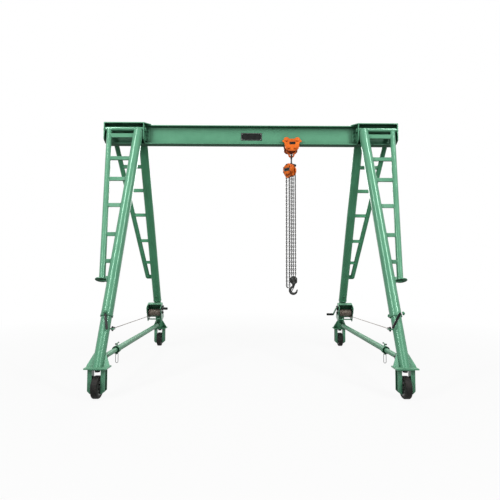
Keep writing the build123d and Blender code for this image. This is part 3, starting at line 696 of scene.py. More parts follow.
@dataclass(frozen=True)
class SolidRubber(Finish):
    """Moulded solid rubber: near black, matt, with a grey bloom where it has rolled."""

    colour: str = "#121211"
    bloom: str = "#2C2927"
    scuff_mm: float = 26.0
    scuff_detail: float = 7.0
    scuff_span: Pair = (0.42, 0.72)
    grit_mm: float = 3.0
    grit_detail: float = 2.0
    grit_shows: float = 0.3
    grit_depth_mm: float = 0.4
    rough: Pair = (0.55, 0.85)
    specular: float = 0.2

    def build(self) -> bpy.types.Material:
        """Make the rubber's nodes.

        Returns:
            The finished material.
        """
        material, tree, place = self.start()
        tones = (self.colour, self.bloom)
        scuff, tone = self.clouds(tree, place, tones, self.scuff_mm, self.scuff_detail, self.scuff_span)
        # Grit is drawn at 3 mm, since the real half millimetre is too fine to show
        fine = {"Scale": per_metre(self.grit_mm), "Detail": self.grit_detail}
        grit = add_node(tree, "ShaderNodeTexNoise", fine, {"Vector": place}).outputs[0]
        sheen = add_node(
            tree, "ShaderNodeMapRange", {"To Min": self.rough[0], "To Max": self.rough[1]}, {"Value": scuff}
        )
        shader = self.close(tree, tone, sheen.outputs[0], grit, self.grit_shows, self.grit_depth_mm)
        shader.inputs["Specular IOR Level"].default_value = self.specular
        return material


class Coat(Enum):
    """The crane's finishes."""

    # Grey-green machine enamel: soft mint along the tubes and deep green where they turn away
    GREEN = SprayedEnamel("grey_green_machine_enamel", Slot.GREEN)
    # The same enamel, deeper and duller, on the rear legs: its deeper colour is painted shade, for the light
    # that reaches them less
    DEEP_GREEN = SprayedEnamel(
        "unfaded_grey_green_enamel", Slot.GREEN, "#468764", "#3F7C5A", gloss=(0.3, 0.38), specular=0.4
    )
    # The same enamel, deeper and with little shine: its deeper colour is painted shade on the spreaders,
    # cranks, collar bands and lock nuts
    WORN_GREEN = SprayedEnamel(
        "handled_grey_green_enamel", Slot.GREEN, "#447E5E", "#396D4F",
        dust_share=0.04, gloss=(0.36, 0.46), specular=0.4,
    )
    # Bright safety enamel on the trolley and hoist: saturated, slightly redder where it is thick. Its fourth
    # colour is the painted shade on faces that look down and in the corners
    ORANGE = SprayedEnamel(
        "orange_safety_enamel", Slot.ORANGE, "#D0641A", "#B45011", "#D8A07A", "#5E1E08",
        film_mm=60.0, peel_mm=20.0, dust_mm=30.0, gloss=(0.3, 0.42), specular=0.35, tint="#FFE2CC",
    )
    # Black lacquered plate: smooth, near black, with a faint cloud of handling. Its fourth colour is the
    # painted shade on faces that look down and in the corners
    LACQUER = SprayedEnamel(
        "black_lacquered_plate", Slot.DARK, "#121313", "#1C1D1D", "#3C3D3C", "#080908",
        film_mm=50.0, peel_mm=20.0, dust_mm=20.0, dust_share=0.1,
        gloss=(0.3, 0.42), specular=0.12, tint="#FFFFFF",
    )
    # Forged and blackened steel: dark scale with dull worn patches
    FORGED = BareMetal("black_forged_steel", Slot.DARK, "#262726", "#424341", 30.0, 5.0)
    # Oiled chain: dark drawn steel, brighter where the links rub
    CHAIN = BareMetal(
        "oiled_chain_steel", Slot.ZINC, "#1B1C1B", "#40413F", 14.0, 2.5, 0.15, rough=(0.3, 0.45)
    )
    # Zinc plate: cool and bright, with a cloudy spangle
    ZINC = BareMetal(
        "zinc_plated_steel", Slot.ZINC, "#C4C6C6", "#9A9E9E", 12.0, 2.5, 0.15, rough=(0.26, 0.42)
    )
    # Drawn wire with grease in its lay: brownish grey and dull
    ROPE = BareMetal("greased_wire_rope", Slot.ROPE, "#7C736A", "#544C44", 18.0, 3.0, 0.2, 0.85)
    # Grey cast iron: dull and pebbly from the sand mould
    IRON = BareMetal("grey_cast_iron", Slot.IRON, "#4A4C4A", "#606260", 35.0, 3.5, 0.5, 0.8)
    # Solid rubber of the tyres: matt black with a faint grey bloom
    RUBBER = SolidRubber("moulded_solid_rubber", Slot.TYRE)

    @cached_property
    def material(self) -> bpy.types.Material:
        """The finish's material, built when it is first asked for."""
        return self.value.build()


# Legs


@dataclass(frozen=True)
class LegLine:
    """The axis of one leg, from the hinge that the frame gives it."""

    side: Side
    end: End
    lean_deg: float = 24.47

    @property
    def corner(self) -> str:
        """Name that the leg's nodes start with."""
        return f"{self.side.label}_{self.end.label}"

    @property
    def body(self) -> str:
        """Body that the leg's fixed pieces ride on."""
        return f"{self.corner}_leg"

    @property
    def pivot(self) -> Vector:
        """Hinge that the leg swings on."""
        return joint_mm(f"{self.corner}_leg_swing")

    @property
    def lean(self) -> float:
        """Lean of the leg from upright, in radians."""
        return math.radians(self.lean_deg)

    @property
    def axis(self) -> Vector:
        """Direction down the leg."""
        return Vector((0, self.end.value * math.sin(self.lean), -math.cos(self.lean)))

    @property
    def inward(self) -> Vector:
        """Direction square to the leg, towards the middle and down."""
        return Vector((0, -self.end.value * math.cos(self.lean), -math.sin(self.lean)))

    def point(self, drop: float, out: float = 0.0, inward: float = 0.0) -> Vector:
        """A point beside the leg.

        Args:
            drop: Height below the hinge of the point's foot on the axis.
            out: Distance outwards along X.
            inward: Distance towards the middle, square to the axis.

        Returns:
            The point.
        """
        sideways = RIGHT * (self.side.value * out)
        return self.pivot + self.axis * (drop / math.cos(self.lean)) + self.inward * inward + sideways


LEGS = [LegLine(side, end) for side in Side for end in End]


@dataclass
class LadderLeg:
    """Sleeve, rail and rungs of one leg, with the beads that weld them."""

    line: LegLine
    sleeve_radius: float = 57.15
    rail_radius: float = 31.75
    rail_top: float = 366.0
    rail_foot: float = 110.0
    rail_drop: float = 1848.0
    front_rungs: tuple[float, ...] = (421.0, 700.0, 1031.0, 1372.0, 1664.0)
    rear_rungs: tuple[float, ...] = (381.0, 673.0, 989.0, 1334.0, 1639.0)
    rung_size: Pair = (32.0, 42.0)
    bead: float = 4.5
    ripple: Pair = (0.85, 1.15)
    sleeve_drop: float = 2210.0
    # Radius past the sleeve's own, and height
    lip_steps: Profile = ((-3.0, 0.0), (2.0, 0.0), (3.0, 1.5), (3.0, 20.0), (0.0, 22.0), (-3.0, 22.0))
    front_bolt_up: float = 25.0
    rear_bolt_up: float = 100.0
    bolt_seat: float = 56.0
    lever_face: float = 69.15
    right_turn_deg: float = 55.0
    lock_nut: Pair = (30.0, 12.0)
    foot_top: float = 282.0
    lower_radius: float = 50.8
    foot_steps: int = 32
    pad_drop: float = 1852.0
    pad_out: float = 122.0
    pad_steps: Profile = ((56.5, 0.0), (58.0, 1.5), (58.0, 6.5), (56.5, 8.0))

    @property
    def is_front(self) -> bool:
        """Whether this is the front leg, which has the lever and the pad."""
        return self.line.end is End.FRONT

    def lay_bead(self, work: Workpiece, path: Sequence[Vector], rng: random.Random) -> None:
        """Weld along a closed path, with a ripple in the bead."""
        work.sweep(path, [self.bead * rng.uniform(*self.ripple) for _ in path], closed=True)

    def rung_weld(self, work: Workpiece, drop: float, at_rail: bool, rng: random.Random) -> None:
        """Lay a bead round one end of a rung.

        Args:
            work: Mesh that takes the bead.
            drop: Height of the rung below the hinge.
            at_rail: Whether this is the rung's outer end.
            rng: Source of the bead's ripple.
        """
        lean = self.line.lean
        path = []
        for y, z in rounded_box(*self.rung_size, self.bead):
            off_axis = self.line.end.value * y * math.cos(lean) + z * math.sin(lean)
            out = math.sqrt(self.sleeve_radius**2 - off_axis**2)
            if at_rail:
                rail = self.rail_top + (self.rail_foot - self.rail_top) * (drop - z) / self.rail_drop
                out = rail - math.sqrt(self.rail_radius**2 - off_axis**2)
            path.append(self.line.point(drop, out) + Vector((0, y, z)))
        self.lay_bead(work, path, rng)

    def sleeve_lip(self) -> None:
        """Roll a lip round the sleeve's lower end."""
        lip = Workpiece(f"{self.line.corner}_sleeve_lip")
        profile = [(self.sleeve_radius + r, h) for r, h in self.lip_steps]
        lip.lathe(profile, facing(self.line.point(self.sleeve_drop), -self.line.axis), sides=40, ring=True)
        lip.finish(Coat.GREEN, self.line.body)

    def lock_nuts(self) -> None:
        """Put heads on the lock bolt's two ends."""
        up = self.front_bolt_up if self.is_front else self.rear_bolt_up
        centre = self.line.point(self.sleeve_drop - up * math.cos(self.line.lean))
        outward = -self.line.inward
        if self.is_front and self.line.side is Side.RIGHT:
            turn = math.radians(self.right_turn_deg)
            outward = outward * math.cos(turn) + RIGHT * math.sin(turn)
        nuts = Workpiece(f"{self.line.corner}_lock_nuts")
        for way in WAYS:
            seat = self.lever_face if self.is_front and way > 0 else self.bolt_seat
            nuts.bolt_head(facing(centre + outward * (way * seat), outward * way), *self.lock_nut)
        # The nuts take the deeper, duller enamel, whose colour paints shade on them
        nuts.finish(Coat.WORN_GREEN, self.line.body)

    def foot_weld(self, rng: random.Random) -> None:
        """Lay the bead where the sliding tube meets its foot plate.

        Args:
            rng: Source of the bead's ripple.
        """
        centre = self.line.point(self.line.pivot.z - self.foot_top)
        slant = 1 / math.cos(self.line.lean)
        spokes = [Vector((math.cos(a), math.sin(a) * slant, 0)) for a in spread(self.foot_steps)]
        bead = Workpiece(f"{self.line.corner}_foot_weld")
        self.lay_bead(bead, [centre + spoke * self.lower_radius for spoke in spokes], rng)
        bead.finish(Coat.GREEN, self.line.body)

    def rail_pad(self) -> None:
        """Close the front rail's foot with a round pad, square to the leg."""
        pad = Workpiece(f"{self.line.corner}_rail_pad")
        place = facing(self.line.point(self.pad_drop, self.pad_out), self.line.axis)
        pad.lathe(self.pad_steps, place, sides=36)
        pad.finish(Coat.GREEN, self.line.body)

    def dress(self, rng: random.Random) -> None:
        """Paint the leg, lay its welds and add its lip, nuts and pad.

        Args:
            rng: Source of the beads' ripple.
        """
        corner = self.line.corner
        # The rear legs take the deeper enamel, whose colour paints shade on them
        paint = Coat.GREEN if self.is_front else Coat.DEEP_GREEN
        coat(paint, f"{corner}_ladder_leg", f"{corner}_lower_leg")
        coat(Coat.LACQUER, f"{corner}_lock_bolt")
        beads = Workpiece(f"{corner}_rung_welds")
        for drop in self.front_rungs if self.is_front else self.rear_rungs:
            for at_rail in (False, True):
                self.rung_weld(beads, drop, at_rail, rng)
        beads.finish(paint, self.line.body)
        self.sleeve_lip()
        self.lock_nuts()
        self.foot_weld(rng)
        if self.is_front:
            self.rail_pad()


@dataclass
class Caster:
    """Swivel caster of one leg."""

    line: LegLine
    axle_reach: float = 46.0
    axle_nut: Pair = (30.0, 12.0)
    king_flats: float = 43.0
    king_low: float = 236.8
    king_height: float = 18.4
    race_top: float = 269.0
    race_steps: Profile = ((36.0, -4.5), (38.8, -4.0), (39.4, -2.5), (38.8, -1.0), (36.0, -0.5))

    def dress(self) -> None:
        """Finish the fork and wheel, put the nuts on the axle and kingpin, and ring the race."""
        corner = self.line.corner
        coat(Coat.GREEN, f"{corner}_caster_fork")
        coat(Coat.RUBBER, f"{corner}_tyre")
        coat(Coat.IRON, f"{corner}_wheel_hub")
        low, high = box_mm(f"{corner}_tyre")
        centre = (low + high) / 2
        nuts = Workpiece(f"{corner}_axle_nuts")
        for way in WAYS:
            nuts.bolt_head(facing(centre + RIGHT * (way * self.axle_reach), RIGHT * way), *self.axle_nut)
        nuts.finish(Coat.FORGED, f"{corner}_caster")
        nut = Workpiece(f"{corner}_kingpin_nut")
        seat = Matrix.Translation((centre.x, centre.y, self.king_low))
        nut.prism(hexagon(self.king_flats), self.king_height, seat)
        nut.finish(Coat.FORGED, self.line.body)
        race = Workpiece(f"{corner}_race_ring")
        place = Matrix.Translation((centre.x, centre.y, self.race_top))
        race.lathe(self.race_steps, place, sides=32, ring=True)
        race.finish(Coat.IRON, f"{corner}_caster")


# Beam


@dataclass
class Beam:
    """Main beam with its headers, bolts and the bare plate on its web."""

    plate_size: Pair = (267.0, 97.0)
    plate_corner: float = 6.0
    plate_thickness: float = 2.5
    plate_edge: float = 0.6
    plate_place: Triple = (4.0, -4.0, 2864.0)
    rim_in: float = 6.0
    rim_radius: float = 1.0
    rivet_in: float = 16.0
    rivet_steps: Profile = ((4.0, 0.0), (3.2, 2.0), (0.0, 2.8))
    clip_face: float = 12.3
    clip_inset: float = 29.0
    clip_bolt: Pair = (22.0, 9.0)
    bolt_margin: float = 28.0
    bolt_rows: int = 3
    bar_nut: Pair = (36.0, 5.0)

    def nameplate(self) -> None:
        """Rivet a bare black plate to the front of the web."""
        place = facing(Vector(self.plate_place), FORWARD, RIGHT)
        length, height = self.plate_size
        outline = rounded_box(length, height, self.plate_corner)
        plate = Workpiece("beam_plate")
        plate.prism(outline, self.plate_thickness, place, self.plate_edge)
        plate.finish(Coat.LACQUER, "beam")
        trim = Workpiece("beam_plate_rim")
        top = lifted(place, self.plate_thickness)
        trim.rim(inset(outline, self.rim_in), self.rim_radius, top)
        for sx in WAYS:
            for sy in WAYS:
                seat = Vector((sx * (length / 2 - self.rivet_in), sy * (height / 2 - self.rivet_in), 0))
                trim.lathe(self.rivet_steps, top @ Matrix.Translation(seat), sides=12)
        trim.finish(Coat.ZINC, "beam")

    def clip_bolts(self) -> None:
        """Bolt the clip angles through the web and to the header plates."""
        low, high = box_mm("beam_clip_angles")
        bolts = Workpiece("clip_angle_bolts")
        first = low.z + self.bolt_margin
        rise = high.z - self.bolt_margin - first
        for row in range(self.bolt_rows):
            z = first + rise * row / (self.bolt_rows - 1)
            for side in Side:
                for end in End:
                    seat = Vector((side.value * (high.x - self.clip_inset), end.value * self.clip_face, z))
                    bolts.bolt_head(facing(seat, FORWARD * -end.value), *self.clip_bolt)
        bolts.finish(Coat.GREEN, "beam")

    def bar_nuts(self) -> None:
        """Put the outer nuts on the hinge bars."""
        nuts = Workpiece("hinge_bar_nuts")
        for line in LEGS:
            low, high = box_mm(f"{line.side.label}_header_plates")
            face = high.x if line.side is Side.RIGHT else low.x
            seat = Vector((face, line.pivot.y, line.pivot.z))
            nuts.bolt_head(facing(seat, RIGHT * line.side.value), *self.bar_nut)
        nuts.finish(Coat.GREEN, "beam")

    def dress(self) -> None:
        """Paint the beam and its headers, and add what is bolted on."""
        coat(Coat.GREEN, "main_beam", "beam_clip_angles")
        for side in Side:
            for piece in ("header_cover", "header_plates", "pivot_bars"):
                coat(Coat.GREEN, f"{side.label}_{piece}")
        self.nameplate()
        self.clip_bolts()
        self.bar_nuts()


# Spreaders and winches


@dataclass
class SideRigging:
    """Spreader, winch and cable between the two legs of one side."""

    side: Side
    rope_radius: float = 4.0
    strands: int = 6
    lay: float = 60.0
    rope_steps: int = 300
    rope_sides: int = 18
    # Share of the cable's length that is left when the A-frame is closed
    keep: float = 0.885
    winding_radius: float = 46.5
    winding_margin: float = 22.0
    winding_sides: int = 7
    turn_steps: int = 22
    drum_nut: Pair = (34.0, 12.0)
    winch_drop: float = 2326.5
    drum_in: float = 133.1
    crank_up: float = 72.0
    crank_arm: float = 235.0
    left_crank_deg: float = 118.0
    right_crank_deg: float = -38.0
    arm_out: float = 126.0
    grip_steps: Profile = (
        (13.0, 1.0), (16.5, 4.0), (17.5, 22.0), (16.8, 52.0), (18.2, 80.0), (15.5, 93.0), (9.0, 97.0),
    )
    cheek_out: float = 90.0
    ratchet_off: float = 6.0
    ratchet_radius: float = 31.0
    ratchet_thickness: float = 9.0
    ratchet_teeth: int = 16
    ratchet_deg: float = 25.0
    tooth_flank: float = 0.12
    tooth_root: float = 0.82
    ratchet_hub: Profile = ((18.0, 0.0), (18.0, 15.0), (14.0, 18.0))
    # Distances down and inward from the crank's shaft
    pawl_post: Pair = (2.0, -62.0)
    pawl_tip: Pair = (18.0, -29.0)
    pawl_off: float = 7.0
    pawl_thickness: float = 7.0
    pawl_tail: Pair = (-10.0, 9.0)
    pawl_neck: Pair = (-8.0, 7.0)
    pawl_shoulder: float = 0.6
    pawl_bolt: Pair = (18.0, 16.0)
    clevis_size: Pair = (28.0, 62.0)
    clevis_corner: float = 12.6
    clevis_wall: float = 6.0
    clevis_edge: float = 1.2
    clevis_back: float = 6.2
    lug_half_height: float = 5.2
    clevis_pin: Pair = (17.0, 8.0)
    pin_ahead: float = 15.5
    ferrule_steps: Profile = ((5.0, 14.0), (8.0, 17.0), (8.5, 40.0), (8.0, 62.0), (5.0, 66.0))
    lug_half: float = 28.0
    lug_pin: Pair = (15.0, 7.0)
    band_steps: Profile = ((38.0, 0.0), (39.0, 0.0), (40.0, 2.0), (40.0, 40.0), (38.0, 42.0))
    knob_radius: float = 8.5
    knob_angles: tuple[float, ...] = (0.7, 1.1, 1.57, 2.0, 2.5)
    knob_reach: float = 45.0
    knob_drop: float = 5.0

    @property
    def label(self) -> str:
        """Name that the side's nodes start with."""
        return self.side.label

    @property
    def rear(self) -> LegLine:
        """The rear leg, which carries the winch."""
        return LegLine(self.side, End.REAR)

    @property
    def inner(self) -> Vector:
        """Direction along X towards the middle of the crane."""
        return RIGHT * -self.side.value

    @property
    def rope_ends(self) -> tuple[Vector, Vector]:
        """Ends of the cable's line, at the lug on the front leg and at the drum."""
        low, high = box_mm(f"{self.label}_winch_cable")
        near, far = sorted((low.x, high.x), key=abs)
        aside = self.side.value * self.rope_radius
        front = Vector((near + aside, low.y, high.z - self.rope_radius))
        return front, Vector((far - aside, high.y, low.z + self.rope_radius))

    def shaft_point(self, down: float, inward: float, out: float) -> Vector:
        """A point of the winch, from the line of its crank's shaft.

        Args:
            down: Distance below the shaft, along the leg.
            inward: Distance from the shaft towards the middle.
            out: Distance outwards along X from the leg's axis.

        Returns:
            The point.
        """
        drop = self.winch_drop + (down - self.crank_up) * math.cos(self.rear.lean)
        return self.rear.point(drop, out, self.drum_in + inward)

    def cable(self) -> None:
        """Lay the taut cable from the drum to the lug on the front leg."""
        front, rear = self.rope_ends
        path = [front.lerp(rear, i / self.rope_steps) for i in range(self.rope_steps + 1)]
        rope = Workpiece(f"{self.label}_winch_rope")
        rope.sweep(path, self.rope_radius, self.rope_sides, lobes=self.strands, lay=self.lay)
        body, cable = f"{self.label}_spreader_outer", f"{self.label}_winch_cable"
        piece = rope.finish(Coat.ROPE, body, ROPE_DEG, stands_for=[cable])
        f"{self.label}_front_leg_swing"
        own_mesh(piece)

    def drum(self) -> None:
        """Wind rope on the drum and put a nut on each end of its shaft."""
        body = f"{self.label}_winch_drum"
        low, high = box_mm(body)
        centre = (low + high) / 2
        start = low.x + self.winding_margin
        width = high.x - self.winding_margin - start
        steps = int(width / (2 * self.rope_radius)) * self.turn_steps
        path = []
        for i in range(steps + 1):
            angle = 2 * math.pi * i / self.turn_steps
            offset = Vector((0, math.cos(angle), math.sin(angle))) * self.winding_radius
            path.append(Vector((start + width * i / steps, centre.y, centre.z)) + offset)
        rope = Workpiece(f"{self.label}_drum_rope")
        rope.sweep(path, self.rope_radius, self.winding_sides)
        rope.finish(Coat.ROPE, body, ROPE_DEG)
        nuts = Workpiece(f"{self.label}_drum_nuts")
        for face, way in ((low.x, -1), (high.x, 1)):
            nuts.bolt_head(facing(Vector((face, centre.y, centre.z)), RIGHT * way), *self.drum_nut)
        nuts.finish(Coat.FORGED, body)

    def ratchet(self) -> None:
        """Put a ratchet wheel on the crank shaft and its pawl on the cheek."""
        outline = []
        for tooth in range(self.ratchet_teeth):
            for share, height in ((0.0, 1.0), (self.tooth_flank, self.tooth_root)):
                angle = 2 * math.pi * (tooth + share) / self.ratchet_teeth
                radius = height * self.ratchet_radius
                outline.append((radius * math.cos(angle), radius * math.sin(angle)))
        wheel = Workpiece(f"{self.label}_ratchet_wheel")
        place = facing(self.shaft_point(0.0, 0.0, -self.cheek_out - self.ratchet_off), self.inner)
        wheel.prism(outline, self.ratchet_thickness, place)
        wheel.lathe(self.ratchet_hub, place, sides=20)
        wheel.finish(Coat.FORGED, f"{self.label}_winch_crank", self.ratchet_deg)
        pawl = Workpiece(f"{self.label}_ratchet_pawl")
        post = self.shaft_point(*self.pawl_post, -self.cheek_out)
        reach = self.shaft_point(*self.pawl_tip, -self.cheek_out) - post
        shoulder = self.pawl_shoulder * reach.length
        (tail, half), (low, high) = self.pawl_tail, self.pawl_neck
        outline = [(tail, -half), (shoulder, low), (reach.length, 0.0), (shoulder, high), (tail, half)]
        pawl.prism(outline, self.pawl_thickness, facing(post + self.inner * self.pawl_off, self.inner, reach))
        pawl.bolt_head(facing(post, self.inner), *self.pawl_bolt)
        pawl.finish(Coat.FORGED, self.rear.body)

    def grip(self) -> None:
        """Turn the crank's grip and its end cap."""
        turn = math.radians(self.left_crank_deg if self.side is Side.LEFT else self.right_crank_deg)
        down, inward = self.crank_arm * math.cos(turn), self.crank_arm * math.sin(turn)
        grip = Workpiece(f"{self.label}_crank_grip")
        grip.lathe(self.grip_steps, facing(self.shaft_point(down, inward, -self.arm_out), self.inner))
        grip.finish(Coat.LACQUER, f"{self.label}_winch_crank", TURNED_DEG)

    def clevis(self) -> None:
        """Pin a clevis to the lug on the front leg, and crimp a ferrule on the rope."""
        front, rear = self.rope_ends
        body = f"{self.label}_front_leg"
        outline = rounded_box(*self.clevis_size, self.clevis_corner)
        fork = Workpiece(f"{self.label}_cable_clevis")
        middle = front - FORWARD * self.clevis_back
        pin = front + FORWARD * self.pin_ahead
        for way in WAYS:
            out = UP * way
            cheek = facing(middle + out * self.lug_half_height, out, RIGHT)
            fork.prism(outline, self.clevis_wall, cheek, self.clevis_edge)
            head = pin + out * (self.lug_half_height + self.clevis_wall)
            fork.bolt_head(facing(head, out), *self.clevis_pin)
        fork.finish(Coat.FORGED, body)
        ferrule = Workpiece(f"{self.label}_cable_ferrule")
        ferrule.lathe(self.ferrule_steps, facing(front, rear - front), sides=18)
        ferrule.finish(Coat.ZINC, body)

    def lug_pins(self) -> None:
        """Put heads on the pins of the spreader's lugs."""
        for end, tube in ((End.FRONT, "inner"), (End.REAR, "outer")):
            pivot = joint_mm(f"{self.label}_spreader_{tube}_pivot")
            pins = Workpiece(f"{self.label}_{end.label}_lug_pins")
            for way in WAYS:
                pins.dome(facing(pivot + RIGHT * (way * self.lug_half), RIGHT * way), *self.lug_pin)
            pins.finish(Coat.FORGED, f"{self.label}_{end.label}_leg")

    def collar(self) -> None:
        """Add the collar's band and the knobs of its clamp bar."""
        body = f"{self.label}_spreader_outer"
        low, high = box_mm(body)
        clip_low, clip_high = box_mm(f"{self.label}_keeper_clip")
        screw = (clip_low + clip_high) / 2
        mouth = Vector((screw.x, low.y, joint_mm(f"{body}_pivot").z))
        band = Workpiece(f"{self.label}_collar_band")
        band.lathe(self.band_steps, facing(mouth, -FORWARD), sides=36, ring=True)
        # The band takes the deeper, duller enamel, whose colour paints shade on it
        band.finish(Coat.WORN_GREEN, body)
        knobs = Workpiece(f"{self.label}_clamp_knobs")
        ball = [(self.knob_radius * math.sin(a), -self.knob_radius * math.cos(a)) for a in self.knob_angles]
        for way in WAYS:
            seat = Vector((screw.x, screw.y + way * self.knob_reach, high.z - self.knob_drop))
            knobs.lathe(ball, facing(seat, FORWARD * -way), sides=16)
        knobs.finish(Coat.FORGED, body, TURNED_DEG)

    def dress(self) -> None:
        """Finish the spreader and the winch, and add their rope."""
        coat(Coat.GREEN, f"{self.label}_winch_frame")
        # The spreader's tubes and the crank take the deeper, duller enamel, whose colour paints shade on them
        for piece in ("spreader_outer", "spreader_inner", "winch_crank"):
            coat(Coat.WORN_GREEN, f"{self.label}_{piece}")
        coat(Coat.CHAIN, f"{self.label}_keeper_clip")
        coat(Coat.FORGED, f"{self.label}_winch_drum")
        self.cable()
        self.drum()
        self.ratchet()
        self.grip()
        self.clevis()
        self.lug_pins()
        self.collar()


# Trolley and hoist


@dataclass
class Trolley:
    """Push trolley on the beam's lower flange."""

    middle_x: float = 511.0
    wheel_reach: float = 68.0
    wheel_z: float = 2799.3
    axle_cap: Pair = (19.0, 8.0)
    tie_reach: float = 42.0
    tie_z: float = 2700.0
    tie_nut: Pair = (30.0, 13.0)
    # Distance from the middle, and height
    lip_path: Profile = ((-85.0, 2700.0), (-60.0, 2672.0), (60.0, 2672.0), (85.0, 2700.0))
    lip_radius: float = 4.5
    lip_sides: int = 8
    lip_deg: float = 60.0
    # Clockwise, so that the web's front edge flares by web_edge
    web_outline: Profile = ((-68.0, 2694.0), (68.0, 2694.0), (41.0, 2663.0), (-41.0, 2663.0))
    web_proud: float = 1.5
    web_edge: float = 1.0
    plate_size: Pair = (72.0, 32.0)
    plate_corner: float = 5.0
    plate_thickness: float = 2.0
    plate_edge: float = 0.5
    plate_x: float = 517.0
    plate_z: float = 2762.0

    def fasteners(self) -> None:
        """Add the axle caps, the tie nuts and the rolled lower lips, front and back."""
        low, high = box_mm("trolley_side_plates")
        caps = Workpiece("trolley_axle_caps")
        nuts = Workpiece("trolley_tie_nuts")
        lips = Workpiece("trolley_lips")
        for face, way in ((low.y, -1), (high.y, 1)):
            out = FORWARD * -way
            for sign in WAYS:
                axle = Vector((self.middle_x + sign * self.wheel_reach, face, self.wheel_z))
                caps.dome(facing(axle, out), *self.axle_cap)
                tie = Vector((self.middle_x + sign * self.tie_reach, face, self.tie_z))
                nuts.bolt_head(facing(tie, out), *self.tie_nut)
            path = [Vector((self.middle_x + x, face, z)) for x, z in self.lip_path]
            lips.sweep(path, self.lip_radius, self.lip_sides)
        caps.finish(Coat.ORANGE, "trolley", TURNED_DEG)
        nuts.finish(Coat.ORANGE, "trolley")
        lips.finish(Coat.ORANGE, "trolley", self.lip_deg)

    def eye_web(self) -> None:
        """Spread the eye's plate in a web below the side plates."""
        low, high = box_mm("trolley_load_plate")
        back = Vector((self.middle_x, high.y + self.web_proud, 0))
        web = Workpiece("trolley_eye_web")
        depth = high.y - low.y + 2 * self.web_proud
        web.prism(self.web_outline, depth, facing(back, FORWARD, RIGHT), self.web_edge)
        web.finish(Coat.ORANGE, "trolley")

    def bare_plate(self) -> None:
        """Fix a bare black plate to the front."""
        seat = Vector((self.plate_x, box_mm("trolley_side_plates")[0].y, self.plate_z))
        outline = rounded_box(*self.plate_size, self.plate_corner)
        plate = Workpiece("trolley_plate")
        plate.prism(outline, self.plate_thickness, facing(seat, FORWARD, RIGHT), self.plate_edge)
        plate.finish(Coat.LACQUER, "trolley")

    def dress(self) -> None:
        """Finish the trolley and add its fittings."""
        coat(Coat.ORANGE, "trolley_side_plates", "trolley_load_plate")
        coat(Coat.IRON, "trolley_wheels")
        self.fasteners()
        self.eye_web()
        self.bare_plate()


@dataclass(frozen=True)
class Chain:
    """A welded chain of alternate links."""

    pitch: float
    wire: float
    width: float
    bend_steps: int = 7
    sides: int = 7

    def link(self, work: Workpiece, place: Matrix) -> None:
        """Add one link along the placing's Z, wide along its X.

        Args:
            work: Mesh that takes the link.
            place: Where the middle of the link lies.
        """
        reach = (self.width - self.wire) / 2
        straight = (self.pitch + self.wire) / 2 - reach
        path = []
        for way, begin in ((1, 0.0), (-1, math.pi)):
            for step in range(self.bend_steps + 1):
                angle = begin + math.pi * step / self.bend_steps
                bend = Vector((reach * math.cos(angle), 0, way * straight + reach * math.sin(angle)))
                path.append(place @ bend)
        work.sweep(path, self.wire / 2, self.sides, closed=True)

    def hang(self, work: Workpiece, path: Sequence[Vector], turn_deg: float) -> None:
        """String links along a path.

        Args:
            work: Mesh that takes the links.
            path: Line that the chain follows.
            turn_deg: Turn of the first link about the path, which runs out towards the last.
        """
        lengths = [(b - a).length for a, b in zip(path, path[1:])]
        count = round(sum(lengths) / self.pitch + TIE)
        step = sum(lengths) / count
        for i in range(count):
            left = (i + 0.5) * step
            part = 0
            while part < len(lengths) - 1 and left > lengths[part] - TIE:
                left -= lengths[part]
                part += 1
            along = path[part + 1] - path[part]
            place = facing(path[part] + along.normalized() * left, along, RIGHT)
            turn = math.radians(turn_deg * (1 - i / count) + 90 * (i % 2))
            self.link(work, place @ Matrix.Rotation(turn, 4, "Z"))


